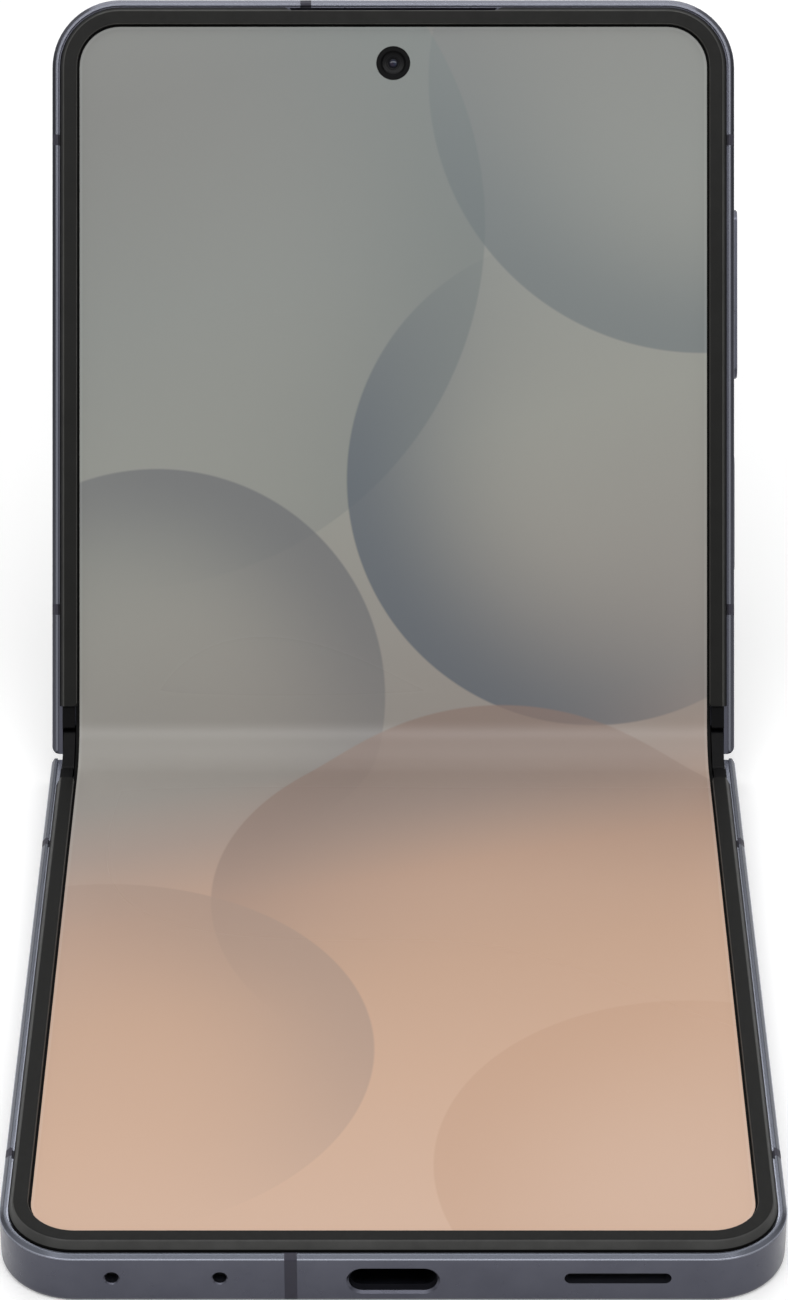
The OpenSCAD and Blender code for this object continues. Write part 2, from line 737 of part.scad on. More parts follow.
module upper_rotators() {
    color("#7c7c82") place_upper() both_sides()
        rotator(7, 5, phase_end, -360 / sector_teeth);
}

module rotator_screws() {
    both_sides() for (x = rotator_screw_x) translate([x, rotator_u1 - 1.8, 0]) {
        translate([0, 0, rotator_z0 - 1]) cylinder(d = 1.14, h = 1.26);
        translate([0, 0, rotator_z0 + 0.25]) cylinder(d = 2, h = 0.3);
    }
}

module lower_screws() { color("#9a9aa0") place_lower() rotator_screws(); }
module upper_screws() { color("#9a9aa0") place_upper() rotator_screws(); }

module wing_plate() {
    block(-wing_w / 2, wing_w / 2, wing_u0, rotator_u1 - 0.1, rotator_z1, screen_z0);
}

module lower_wing_plate() { color("#a6a6aa") place_lower() wing_plate(); }
module upper_wing_plate() { color("#a6a6aa") place_upper() wing_plate(); }

// ---- inside the lower half ----

battery_top = plate_z0 - 0.1;
board_u0 = 60;
coil_r = 20;
coil_pitch = 1.25;

module lower_battery() {
    color("#2c2e33") place_lower()
        rounded_block(-31, 31, 15, board_u0 - 1.2, cavity_z0 + 0.3, battery_top, 1.2);
}

module charging_coil() {
    color("#b0683c") place_lower() translate([0, 38, glass_t + 0.02]) difference() {
        cylinder(r = coil_r, h = cavity_z0 - glass_t + 0.2);
        translate([0, 0, -1]) cylinder(r = coil_r / 2, h = 4);
        // channels between the turns of the winding
        for (r = [coil_r / 2 + coil_pitch : coil_pitch : coil_r - 0.5 * coil_pitch])
            translate([0, 0, cavity_z0 - glass_t + 0.05]) difference() {
                cylinder(r = r + 0.12, h = 1);
                translate([0, 0, -1]) cylinder(r = r - 0.12, h = 3);
            }
    }
}

// Chips of a board, each [x, u, width, length, height]
module chips(list) {
    for (c = list) block(c[0] - c[2] / 2, c[0] + c[2] / 2, c[1] - c[3] / 2, c[1] + c[3] / 2,
        1.2 + board_t, 1.3 + board_t + c[4]);
}

module lower_board() {
    color("#1f4f3a") place_lower() difference() {
        union() {
            block(-33.5, 33.5, board_u0, board_u0 + 3.6, 1.3, 1.3 + board_t);
            block(-13, 12.2, board_u0 + 3.5, half_len - wall_t - 1.6, 1.3, 1.3 + board_t);
            chips([[-22, board_u0 + 1.8, 6, 2.4, 0.7], [-12, board_u0 + 1.9, 4, 2, 0.5],
                [5.5, board_u0 + 1.7, 3, 2.2, 0.6], [14, board_u0 + 1.8, 5.4, 2.4, 0.8],
                [24, board_u0 + 1.8, 3.6, 1.8, 0.5]]);
        }
        block(-port_w / 2 - 0.6, port_w / 2 + 0.6, half_len - wall_t - 7.6, half_len, 0, 9);
        for (x = [-30, 30]) translate([x, board_u0 + 1.8, 0]) cylinder(d = 1.6, h = 5);
    }
}

module charging_port() {
    y1 = half_len - wall_t - 0.05;
    color("#8f8f96") place_lower() {
        difference() {
            end_slot(0, port_z, port_w + 2 * port_wall, port_h + 2 * port_wall, y1 - port_depth, y1);
            end_slot(0, port_z, port_w - 0.04, port_h - 0.04, y1 - port_depth + 0.7, y1 + 1);
        }
        block(-3.35, 3.35, y1 - 6.7, y1 - 1.2, port_z - 0.35, port_z + 0.35);
    }
}

module loudspeaker() {
    color("#26262a") place_lower() {
        rounded_block(13.6, 32, board_u0 + 4.6, half_len - wall_t - 1.4, 1.2, battery_top, 1);
        block(speaker_x - speaker_len / 2 + 0.4, speaker_x + speaker_len / 2 - 0.4,
            half_len - wall_t - 1.5, half_len - wall_t - 0.1, hole_z - duct_h / 2, hole_z + duct_h / 2);
    }
}

module microphones() {
    color("#b9a76a") place_lower() for (x = mic_x)
        block(x - 1.4, x + 1.4, half_len - wall_t - 2, half_len - wall_t - 0.1, hole_z - 1.1, hole_z + 1.1);
}

module vibration_motor() {
    color("#85858c") place_lower()
        rounded_block(-31.5, -14.4, board_u0 + 4.6, board_u0 + 16, 1.3, battery_top, 1.5);
}

// ---- inside the upper half ----

ring_x = [27.4, 27.4 - ring_pitch];
ring_u = half_len - 11.2;
camera_u = half_len - punch_in;
flash_d = 3.2;
flash_window = flash_d - 0.6;   // lens that shows through the glass
window_gap = 0.04;
flash_at = [3, ring_u + 1];
main_board_u1 = flash_at[1] - flash_d / 2 - 0.05;

module upper_battery() {
    color("#2c2e33") place_upper() rounded_block(-18.5, 31.5, 14.5, 40.5, cavity_z0 + 0.1, battery_top, 1.2);
}

module main_board() {
    color("#1f4f3a") place_upper() difference() {
        union() {
            block(-18.5, 31.8, 41.5, 64.5, 1.3, 1.3 + board_t);
            block(-33, 3, 51.5, main_board_u1, 1.3, 1.3 + board_t);
            // shielding cans
            block(-14, 5, 44, 60, 1.3 + board_t, 1.3 + board_t + 1.3);
            block(8, 29, 43, 58, 1.3 + board_t, 1.3 + board_t + 1.3);
            chips([[-26.5, 58.5, 7, 6, 0.8], [-18, 55, 3, 4, 0.6], [-19, 60.6, 4, 3.4, 0.5],
                [-24, 66.6, 9, 5, 0.9], [-15.6, 65.4, 3.4, 3.4, 0.5], [-9, 66, 5, 4, 0.7],
                [-2, 67.4, 4, 6, 0.6]]);
        }
        for (p = [[-31, 54], [-31, 69], [30, 62.5]]) translate([p[0], p[1], 0]) cylinder(d = 1.6, h = 5);
    }
}

module front_camera() {
    color("#0d0e12") place_upper() translate([0, camera_u, 0]) {
        translate([0, 0, 1.6]) cylinder(d = punch_d + 2, h = screen_z0 - 1.8);
        difference() {
            cylinder(d = punch_d - 0.08, h = screen_z - 0.04);
            translate([0, 0, screen_z - 0.34]) cylinder(d1 = 1.7, d2 = punch_d - 0.9, h = 0.31);
            translate([0, 0, -1]) cylinder(d = 9, h = 2.9);
        }
        translate([0, 0, screen_z - 0.8]) cylinder(d = 1.8, h = 0.52);
    }
}

module earpiece() {
    color("#26262a") place_upper() {
        rounded_block(-19, -4.6, main_board_u1 + 1.5, half_len - wall_t - 1.2, 1.3, battery_top, 0.8);
        block(-10, -5, half_len - wall_t - 1.3, half_len - wall_t - 0.85, 1.8, battery_top - 0.4);
    }
}

module earpiece_mesh() {
    color("#18181b") place_upper() translate([0, half_len - bezel_x0 - bezel_slope, screen_z0 - 0.18])
        linear_extrude(0.3) polygon([[-earpiece_w / 2 + 0.1, 0], [earpiece_w / 2 - 0.1, 0],
            [earpiece_w / 2 + 0.2, bezel_slope - 0.02], [-earpiece_w / 2 - 0.2, bezel_slope - 0.02]]);
}

module rear_cameras() {
    color("#1a1a1d") place_upper() for (x = ring_x) translate([x, ring_u, 0]) {
        rounded_block(-5.6, 5.6, -5.6, 5.6, 1.2, battery_top, 0.8);
        translate([0, 0, -ring_out + 0.9]) cylinder(d = ring_d - 4.4, h = ring_out + 0.4);
    }
}

module camera_rings() {
    color("#55555f") place_upper() for (x = ring_x) translate([x, ring_u, 0])
        rotate_extrude() polygon([[ring_d / 2 - 1.9, glass_t], [ring_d / 2 - 0.64, glass_t],
            [ring_d / 2 - 0.64, 0], [ring_d / 2, -0.02], [ring_d / 2, -ring_out + 0.3],
            [ring_d / 2 - 0.28, -ring_out], [ring_d / 2 - 1.1, -ring_out],
            [ring_d / 2 - 1.3, -ring_out + 0.2], [ring_d / 2 - 1.3, -ring_out + 0.62],
            [ring_d / 2 - 1.9, -ring_out + 0.62]]);
}

module camera_lenses() {
    color("#090a0f") place_upper() for (x = ring_x) translate([x, ring_u, -ring_out + 0.2])
        cylinder(d = ring_d - 2.66, h = 0.4);
}

module flash() {
    color("#e9e3cf") place_upper() translate([flash_at[0], flash_at[1], 0]) {
        translate([0, 0, glass_t + 0.02]) cylinder(d = flash_d, h = 0.7);
        translate([0, 0, 0.03]) cylinder(d = flash_window, h = glass_t + 0.1);
    }
}

module cover_screen() {
    hw = cover_w / 2;
    color("#101116") place_upper() difference() {
        rounded_block(-hw, hw, end_wall_u + 1.4, half_len - 4.4, glass_t + 0.01, cavity_z0, 4);
        for (x = ring_x) translate([x, ring_u, 0]) cylinder(d = ring_d - 0.6, h = 4);
        translate([flash_at[0], flash_at[1], 0]) cylinder(d = flash_d + 0.6, h = 4);
    }
}

// ---- keys and tray ----

flange_x = half_w - wall_t + 0.57;     // outer face of the key flanges

module key(u, len, out) {
    side_slot(u, key_z, len, key_h, flange_x - 0.2, half_w + out - 0.12);
    side_slot(u, key_z, len - 0.24, key_h - 0.24, half_w, half_w + out);
    block(flange_x - 0.4, flange_x, u - len / 2 - 0.5, u + len / 2 + 0.5,
        key_z - key_h / 2, key_z + key_h / 2);
    // plungers that reach the switches
    for (s = len > 15 ? [-1, 1] : [0]) translate([flange_x - 0.62, u + s * len / 4, key_z])
        rotate([0, 90, 0]) cylinder(d = 1.4, h = 0.3);
}

module volume_key() { color("#5b5b66") place_upper() key(volume_u, volume_len, volume_out); }
module side_key() { color("#5b5b66") place_upper() key(side_key_u, side_key_len, side_key_out); }

module key_switches() {
    color("#a08f58") place_upper() for (k = [[volume_u, volume_len], [side_key_u, side_key_len]])
        block(half_w - wall_t - 0.95, flange_x - 0.9, k[0] - k[1] / 2 + 1, k[0] + k[1] / 2 - 1,
            key_z - key_h / 2 + 0.2, key_z + key_h / 2 - 0.2);
}

module tray_socket() {
    color("#8f8f96") place_upper() difference() {
        block(-half_w + wall_t + 1.7, -half_w + tray_depth + 0.8, tray_u - tray_len / 2 - 0.3,
            tray_u + tray_len / 2 + 0.3, key_z - 1.2, key_z + 1.1);
        block(-half_w, -half_w + tray_depth + 0.3, tray_u - tray_len / 2 + 0.15,
            tray_u + tray_len / 2 - 0.15, key_z - 0.62, key_z + 0.62);
    }
}

module sim_tray() {
    color("#50505a") place_upper() {
        side_slot(tray_u, key_z, tray_len, key_h, -half_w, -half_w + wall_t);
        difference() {
            block(-half_w + wall_t - 0.1, -half_w + tray_depth, tray_u - tray_len / 2 + 0.3,
                tray_u + tray_len / 2 - 0.3, key_z - 0.5, key_z + 0.5);
            rounded_block(-half_w + 4.4, -half_w + 13.4, tray_u - 5.8, tray_u + 5.8, 0, 9, 0.5);
        }
    }
}

lower_frame();
lower_antenna_bands();
lower_back_glass();
lower_bezel();
lower_fold_trims();
lower_screen();
lower_battery();
lower_board();
charging_port();
loudspeaker();
microphones();
vibration_motor();
charging_coil();
lower_rotators();
lower_wing_plate();
lower_screws();
spine_cover();
hinge_brackets();
hinge_caps();
gear_pins();
spine_screws();
screen_fold();
first_gears();
second_gears();
third_gears();
fourth_gears();
upper_frame();
upper_antenna_bands();
cover_glass();
cover_screen();
upper_bezel();
upper_fold_trims();
upper_screen();
upper_battery();
main_board();
front_camera();
earpiece();
earpiece_mesh();
rear_cameras();
camera_rings();
camera_lenses();
flash();
upper_rotators();
upper_wing_plate();
upper_screws();
key_switches();
tray_socket();
volume_key();
side_key();
sim_tray();
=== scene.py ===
import math
import bmesh
import bpy
import numpy as np
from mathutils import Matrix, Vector


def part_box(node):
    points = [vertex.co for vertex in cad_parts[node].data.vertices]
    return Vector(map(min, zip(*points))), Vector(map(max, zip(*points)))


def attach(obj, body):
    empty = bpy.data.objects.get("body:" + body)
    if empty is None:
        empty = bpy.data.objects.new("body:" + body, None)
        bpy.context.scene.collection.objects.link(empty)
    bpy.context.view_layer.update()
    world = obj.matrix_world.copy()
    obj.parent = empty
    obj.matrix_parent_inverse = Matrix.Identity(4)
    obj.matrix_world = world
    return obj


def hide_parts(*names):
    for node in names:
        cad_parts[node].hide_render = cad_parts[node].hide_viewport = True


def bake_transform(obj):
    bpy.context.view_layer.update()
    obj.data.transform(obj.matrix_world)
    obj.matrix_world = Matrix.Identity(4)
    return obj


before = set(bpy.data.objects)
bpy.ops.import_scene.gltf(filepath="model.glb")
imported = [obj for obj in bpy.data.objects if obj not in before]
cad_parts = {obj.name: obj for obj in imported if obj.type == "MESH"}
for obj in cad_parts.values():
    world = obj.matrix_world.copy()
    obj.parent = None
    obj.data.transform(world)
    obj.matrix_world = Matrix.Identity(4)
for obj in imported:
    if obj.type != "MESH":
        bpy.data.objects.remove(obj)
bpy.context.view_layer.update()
print("frame loaded,", len(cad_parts), "nodes")

mm = 0.001                              # sizes below are in mm, the meshes in metres
phone = {
    "hingeTurn": math.radians(28.5),    # each of the two fold axes takes half of the fold
    "halfLength": 83.35,                # fold line to far end of one half
    "halfWidth": 37.6,
    "cornerRadius": 7.5,
    "axisOffset": 1.8,                  # fold axis, measured from the fold line
    "axisHeight": 5.05,
    "halfGap": 0.2,
}
foldY = (phone["halfLength"] + phone["halfGap"]) / 2    # fold line in the shared frame


# places

# Lower half: its points are (across, away from the fold, up from its back), so y = foldY - away
def lowerPlace(p):
    x, u, z = np.moveaxis(np.asarray(p, float), -1, 0)
    return np.stack([x, foldY - u, z], -1) * mm


# Turn about an x axis at (y0, z0) by angle a: new dy = dy cos a - dz sin a, new dz = dy sin a + dz cos a
def turned(p, y0, z0, a):
    x, y, z = np.moveaxis(np.asarray(p, float), -1, 0)
    dy, dz = y - y0, z - z0
    newY = y0 + dy * math.cos(a) - dz * math.sin(a)
    newZ = z0 + dy * math.sin(a) + dz * math.cos(a)
    return np.stack([x, newY, newZ], -1)


# Spine: its own place from its middle line, turned once about the lower axis
def spinePlace(p):
    p = np.asarray(p, float) + np.array([0, foldY, 0])
    return turned(p, foldY - phone["axisOffset"], phone["axisHeight"], phone["hingeTurn"]) * mm


# Upper half: turned about the spine's far axis, and then with the spine
def upperPlace(p):
    return spinePlace(turned(p, phone["axisOffset"], phone["axisHeight"], phone["hingeTurn"]))


# meshes

weldWithin = 1e-8                       # metres


# A mesh piece from points, faces, one pair of numbers a point and one material slot a face;
# points that coincide are joined, and edges steeper than the sharp angle stay hard
def newObject(name, points, faces, uv=None, slots=None, smooth=True, sharp=35):
    points = np.asarray(points, float).reshape(-1, 3)
    mesh = bpy.data.meshes.new(name)
    mesh.from_pydata(points.tolist(), [], [list(map(int, f)) for f in faces])
    if uv is not None:
        layer = mesh.uv_layers.new(name="flat")
        corner = np.zeros(len(mesh.loops), np.int32)
        mesh.loops.foreach_get("vertex_index", corner)
        layer.data.foreach_set("uv", np.asarray(uv, float).reshape(-1, 2)[corner].ravel())
    if slots is not None:
        mesh.polygons.foreach_set("material_index", np.asarray(slots, np.int32))
    welded = bmesh.new()
    welded.from_mesh(mesh)
    bmesh.ops.remove_doubles(welded, verts=welded.verts, dist=weldWithin)
    welded.to_mesh(mesh)
    welded.free()
    mesh.polygons.foreach_set("use_smooth", [smooth] * len(mesh.polygons))
    mesh.update()
    if smooth:
        mesh.set_sharp_from_angle(angle=math.radians(sharp))
    piece = bpy.data.objects.new(name, mesh)
    bpy.context.scene.collection.objects.link(piece)
    return piece


# Quads of a rows x cols grid of points, by running index; wrapped, the last column joins the first
def gridFaces(rows, cols, wrap=False):
    r, c = np.meshgrid(np.arange(rows - 1), np.arange(cols if wrap else cols - 1), indexing="ij")
    c2 = (c + 1) % cols
    corners = [r * cols + c, r * cols + c2, (r + 1) * cols + c2, (r + 1) * cols + c]
    return np.stack(corners, -1).reshape(-1, 4)


# Running index of a grid's outline, once round, in the order of its quads' edges
def gridRing(r0, r1, c0, c1, cols):
    return np.concatenate([r0 * cols + np.arange(c0, c1), cols * np.arange(r0, r1) + c1,
                           r1 * cols + np.arange(c1, c0, -1), cols * np.arange(r1, r0, -1) + c0])


# Turned piece: a profile of (radius, height) points goes once round an upright line; ends on the line
def lathe(name, place, at, profile, steps=64):
    profile = np.asarray(profile, float)
    turn = np.linspace(0, 2 * math.pi, steps, endpoint=False)
    radius, height = profile[:, :1], profile[:, 1:]
    x, y = at[0] + radius * np.cos(turn), at[1] + radius * np.sin(turn)
    points = np.stack(np.broadcast_arrays(x, y, height), -1)
    uv = np.stack(np.broadcast_arrays(radius, turn[None, :]), -1)
    return newObject(name, place(points), gridFaces(len(profile), steps, wrap=True), uv, sharp=30)


# node helpers

# shader sockets that take one plain value, by their short names here
plainSockets = {"metal": "Metallic", "coat": "Coat Weight", "coatRough": "Coat Roughness",
                "specular": "Specular IOR Level"}
noiseReach = (0.3, 0.7)                 # where nearly all of a noise's values lie


# A node tree being built: a new material's by name, or one that is there already
class Nodes:
    def __init__(self, name=None, tree=None):
        self.tree = tree
        if name is None:
            return
        self.material = bpy.data.materials.new(name)
        self.material.use_nodes = True
        self.tree = self.material.node_tree
        self.tree.nodes.clear()
        out = self.tree.nodes.new("ShaderNodeOutputMaterial")
        self.shader = self.tree.nodes.new("ShaderNodeBsdfPrincipled")
        self.tree.links.new(self.shader.outputs[0], out.inputs[0])

    def add(self, kind, **values):
        node = self.tree.nodes.new("ShaderNode" + kind)
        for key, value in values.items():
            setattr(node, key, value)
        return node

    def put(self, value, socket):
        if isinstance(value, bpy.types.NodeSocket):
            self.tree.links.new(value, socket)
        else:
            socket.default_value = value

    def math(self, operation, a, b=0.0, c=None):
        node = self.add("Math", operation=operation)
        self.put(a, node.inputs[0])
        self.put(b, node.inputs[1])
        if c is not None:
            self.put(c, node.inputs[2])
        return node.outputs[0]

    def mix(self, share, a, b):
        node = self.add("Mix", data_type="RGBA")        # its colour sockets are 6 and 7, and 2 of the outputs
        self.put(share, node.inputs[0])
        self.put(a, node.inputs[6])
        self.put(b, node.inputs[7])
        return node.outputs[2]

    def span(self, value, a, b, c, d, smooth=False):
        node = self.add("MapRange", interpolation_type="SMOOTHSTEP" if smooth else "LINEAR")
        for i, v in enumerate((value, a, b, c, d)):
            self.put(v, node.inputs[i])
        return node.outputs[0]

    def objectPlace(self, scale=None):
        place = self.add("TexCoord").outputs["Object"]
        if scale is None:
            return place
        node = self.add("Mapping")
        self.put(place, node.inputs["Vector"])
        node.inputs["Scale"].default_value = scale
        return node.outputs[0]

    def flatPlace(self):
        split = self.add("SeparateXYZ")
        self.put(self.add("UVMap", uv_map="flat").outputs[0], split.inputs[0])
        return split.outputs[0], split.outputs[1]

    def noise(self, scale, detail=2.0, roughness=0.5, vector=None):
        node = self.add("TexNoise")
        self.put(vector or self.objectPlace(), node.inputs["Vector"])
        node.inputs["Scale"].default_value = scale
        node.inputs["Detail"].default_value = detail
        node.inputs["Roughness"].default_value = roughness
        return node.outputs["Fac"]

    # noise spread from its usual reach over low to high
    def drift(self, scale, low, high, detail=3.0):
        return self.span(self.noise(scale, detail), noiseReach[0], noiseReach[1], low, high)

    # one less a value
    def oneLess(self, value):
        return self.math("SUBTRACT", 1.0, value)

    def ramp(self, value, stops):
        node = self.add("ValToRGB")
        self.put(value, node.inputs[0])
        for i, (at, code) in enumerate(stops):
            stop = node.color_ramp.elements[i] if i < 2 else node.color_ramp.elements.new(at)
            stop.position = at
            stop.color = tint(code)
        return node.outputs[0]

    def bump(self, height, strength, distance, normal=None):
        node = self.add("Bump")
        node.inputs["Strength"].default_value = strength
        node.inputs["Distance"].default_value = distance
        self.put(height, node.inputs["Height"])
        if normal is not None:
            self.put(normal, node.inputs["Normal"])
        return node.outputs[0]

    # colour, normal and plain values into the shader
    def dress(self, colour=None, rough=None, normal=None, **plain):
        for value, socket in ((colour, "Base Color"), (rough, "Roughness"), (normal, "Normal")):
            if value is not None:
                self.put(value, self.shader.inputs[socket])
        for key, value in plain.items():
            self.shader.inputs[plainSockets[key]].default_value = value
        return self.material


# sRGB hex to linear
def tint(code, alpha=1.0):
    parts = [int(code[i:i + 2], 16) / 255 for i in (0, 2, 4)]
    return tuple(c / 12.92 if c <= 0.04045 else ((c + 0.055) / 1.055) ** 2.4 for c in parts) + (alpha,)


# finishes of the CAD pieces

# worn look that the metal and moulded finishes share: noise scales of the slow patches and of the roughness,
# and the fine grain's share of the tone
wear = {"patch": 300, "sheen": 1200, "grainShare": 0.35}


# Tone: two near colours mixed by a share of fine grain and the rest of slow patches
def wornTone(n, grain, dark, light):
    slow = n.math("MULTIPLY", n.drift(wear["patch"], 0.0, 1.0), 1 - wear["grainShare"])
    return n.mix(n.math("MULTIPLY_ADD", grain, wear["grainShare"], slow), tint(dark), tint(light))


# Plain finish: worn tone, roughness by noise within its two ends, bump by fine grain; a stretch draws the
# grain out into brush lines
def finish(name, light, dark, rough=(0.3, 0.4), grain=12000, depth=2e-6, stretch=None, **plain):
    n = Nodes(name)
    lines = n.noise(grain, 2.0, vector=n.objectPlace(scale=stretch) if stretch else None)
    return n.dress(wornTone(n, lines, dark, light), n.drift(wear["sheen"], *rough),
                   n.bump(lines, 0.5, depth), **plain)


# Height above a half's back: a point's distance along the half's own upward direction, in mm
def heightAbove(n, place):
    foot = place([0, 0, 0])
    up = place([0, 0, 1]) - foot
    up = up / np.linalg.norm(up)
    along = n.add("VectorMath", operation="DOT_PRODUCT")
    n.put(n.objectPlace(), along.inputs[0])
    along.inputs[1].default_value = up.tolist()
    return n.math("DIVIDE", n.math("SUBTRACT", along.outputs["Value"], float(up @ foot)), mm)


# frames: blasted grain with its roughness, and the smoother bevel at the front edge, in tones of painted
# highlight; the bevel's parts are heights above a half's back, in mm, with how soft their edges are
frameLook = {"grain": 14000, "depth": 1.2e-6, "rough": (0.27, 0.34), "bevelRough": 0.22, "metal": 0.85,
             "foot": 5.1, "face": 5.23, "lip": 5.5, "soft": 0.02}


# Frame finish: as the plain one, and by height the bevel gets painted highlight in three tones, foot, face
# and lip
def frameFinish(name, light, dark, bevelHighlight, place):
    n = Nodes(name)
    look = frameLook
    height = heightAbove(n, place)
    mask, face, lip = (n.span(height, look[key], look[key] + look["soft"], 0.0, 1.0)
                       for key in ("foot", "face", "lip"))
    # painted highlight on the bevel: foot, face and lip tones by height
    paintedBevelLight = n.mix(lip, n.mix(face, tint(bevelHighlight[0]), tint(bevelHighlight[1])), tint(bevelHighlight[2]))
    grain = n.noise(look["grain"], 2.0)
    colour = n.mix(mask, wornTone(n, grain, dark, light), paintedBevelLight)
    rough = n.span(mask, 0.0, 1.0, n.drift(wear["sheen"], *look["rough"]), look["bevelRough"])
    relief = n.bump(n.math("MULTIPLY", grain, n.oneLess(mask)), 0.5, look["depth"])
    return n.dress(colour, rough, relief, metal=look["metal"])


# surrounds: heights where the slope, its pale edge line of painted highlight and the level rim begin, in mm
# above a half's back; below the slope lies a dark seam of painted shade
surroundLook = {"slope": 5.68, "edge": 6.4, "rim": 6.49, "soft": 0.02, "worn": "0c0c0b", "wornShare": 0.25,
                "patch": 400, "sheen": 1600, "rough": (0.32, 0.42), "grain": 9000, "depth": 1e-6,
                "specular": 0.08}


# Surround: moulded grain, and by height a dark seam of painted shade in the groove, a slope, a pale line of
# painted highlight at its top edge and the level rim; the slope and rim tones are painted light as well,
# lighter or darker on either half by how the light falls
def surroundFinish(name, seamShade, slope, edge, rim, place):
    n = Nodes(name)
    look = surroundLook
    height = heightAbove(n, place)
    colour = tint(seamShade)
    # painted light by height: shade in the seam, lit slope, highlight on the edge line, then the rim
    for key, code in (("slope", slope), ("edge", edge), ("rim", rim)):
        begun = n.span(height, look[key] - look["soft"], look[key], 0.0, 1.0)
        colour = n.mix(begun, colour, tint(code))
    colour = n.mix(n.drift(look["patch"], 0.0, look["wornShare"]), colour, tint(look["worn"]))
    relief = n.bump(n.noise(look["grain"], 2.0), 0.5, look["depth"])
    return n.dress(colour, n.drift(look["sheen"], *look["rough"]), relief, specular=look["specular"])


boardLook = {
    "tracks": {"Scale": 420.0, "Mortar Size": 0.05, "Mortar Smooth": 0.3, "Brick Width": 0.9,
               "Row Height": 0.32},
    "trackPatch": 160, "trackFrom": (0.45, 0.5),        # tracks show where this slow noise is high
    "trackShare": 0.5, "trackRise": 0.6, "padScale": 520.0, "padEdge": (0.16, 0.2), "lacquer": 900,
    "rough": (0.32, 0.22), "depth": 2.5e-5,
}


# Board: square conductor tracks and round pads under green lacquer, both of them copper and a little raised
def boardFinish(name, light, dark, copper, **plain):
    n = Nodes(name)
    look = boardLook
    brick = n.add("TexBrick", offset=0.35, squash=0.6, squash_frequency=3)
    n.put(n.objectPlace(), brick.inputs["Vector"])
    for socket, value in look["tracks"].items():
        brick.inputs[socket].default_value = value
    cell = n.add("TexVoronoi", feature="F1")
    n.put(n.objectPlace(), cell.inputs["Vector"])
    cell.inputs["Scale"].default_value = look["padScale"]
    pad = n.span(cell.outputs["Distance"], *look["padEdge"], 1.0, 0.0)
    patch = n.span(n.noise(look["trackPatch"]), *look["trackFrom"], 0.0, 1.0)
    tracks = n.math("MULTIPLY", brick.outputs["Fac"], patch)
    colour = n.mix(n.noise(look["lacquer"], 3.0), tint(dark), tint(light))
    colour = n.mix(n.math("MULTIPLY", tracks, look["trackShare"]), colour, tint(copper))
    colour = n.mix(pad, colour, tint(copper))
    height = n.math("MAXIMUM", pad, n.math("MULTIPLY", tracks, look["trackRise"]))
    return n.dress(colour, n.span(pad, 0.0, 1.0, *look["rough"]), n.bump(height, 0.7, look["depth"]), **plain)


coilLook = {"turnWidth": 1.25, "grain": 2500, "grainShare": 0.4, "rough": (0.42, 0.28), "depth": 4e-5}


# Winding: one ring for each turn of wire, by the sine of the distance to the coil's middle; darker between
# the turns as painted shade in the grooves between wires
def coilFinish(name, light, dark, node, **plain):
    n = Nodes(name)
    look = coilLook
    away = n.add("VectorMath", operation="DISTANCE")
    n.put(n.objectPlace(), away.inputs[0])
    away.inputs[1].default_value = (np.array(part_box(node)).sum(0) / 2).tolist()
    phase = n.math("MULTIPLY", away.outputs["Value"], 2 * math.pi / (look["turnWidth"] * mm))
    wave = n.math("MULTIPLY_ADD", n.math("SINE", phase), 0.5, 0.5)
    # painted shade: the tone drops between turns
    byTurn = n.math("MULTIPLY", wave, 1 - look["grainShare"])
    tone = n.math("MULTIPLY_ADD", n.noise(look["grain"], 3.0), look["grainShare"], byTurn)
    return n.dress(n.mix(tone, tint(dark), tint(light)), n.span(wave, 0.0, 1.0, *look["rough"]),
                   n.bump(wave, 0.9, look["depth"]), **plain)


foilLook = {"crease": 90, "creaseWidth": 0.06, "foldShare": 0.5, "foldDepth": 6e-5, "film": 1500,
            "weave": 6000, "weaveDepth": 5e-6, "sheen": 700, "rough": (0.3, 0.46)}


# Battery foil: broad creases where folded noise is near nothing, over a fine weave of the film
def foilFinish(name, light, dark, **plain):
    n = Nodes(name)
    look = foilLook
    crease = n.math("ABSOLUTE", n.math("SUBTRACT", n.noise(look["crease"], 4.0, 0.55), 0.5))
    fold = n.span(crease, 0.0, look["creaseWidth"], 1.0, 0.0, smooth=True)
    film = n.math("MULTIPLY", n.noise(look["film"], 3.0), 1 - look["foldShare"])
    tone = n.math("MULTIPLY_ADD", fold, look["foldShare"], film)
    weave = n.bump(n.noise(look["weave"]), 0.3, look["weaveDepth"])
    return n.dress(n.mix(tone, tint(dark), tint(light)), n.drift(look["sheen"], *look["rough"]),
                   n.bump(fold, 0.5, look["foldDepth"], weave), **plain)


meshLook = {"pitch": 0.16, "sheen": 3000, "rough": (0.45, 0.6), "depth": 3e-5}


# Sound mesh: holes where two crossing waves, along the slot and through it, are both high or both low; the
# holes are painted darker, as shade in them
def meshFinish(name, light, dark, **plain):
    n = Nodes(name)
    look = meshLook
    turns = 2 * math.pi / (look["pitch"] * mm)
    split = n.add("SeparateXYZ")
    n.put(n.objectPlace(), split.inputs[0])
    wave = [n.math("SINE", n.math("MULTIPLY", split.outputs[i], turns)) for i in (0, 2)]
    hole = n.span(n.math("MULTIPLY", wave[0], wave[1]), 0.0, 0.5, 0.0, 1.0, smooth=True)
    # painted shade: the holes take the darker tone
    return n.dress(n.mix(hole, tint(light), tint(dark)), n.drift(look["sheen"], *look["rough"], 2.0),
                   n.bump(n.oneLess(hole), 0.8, look["depth"]), **plain)
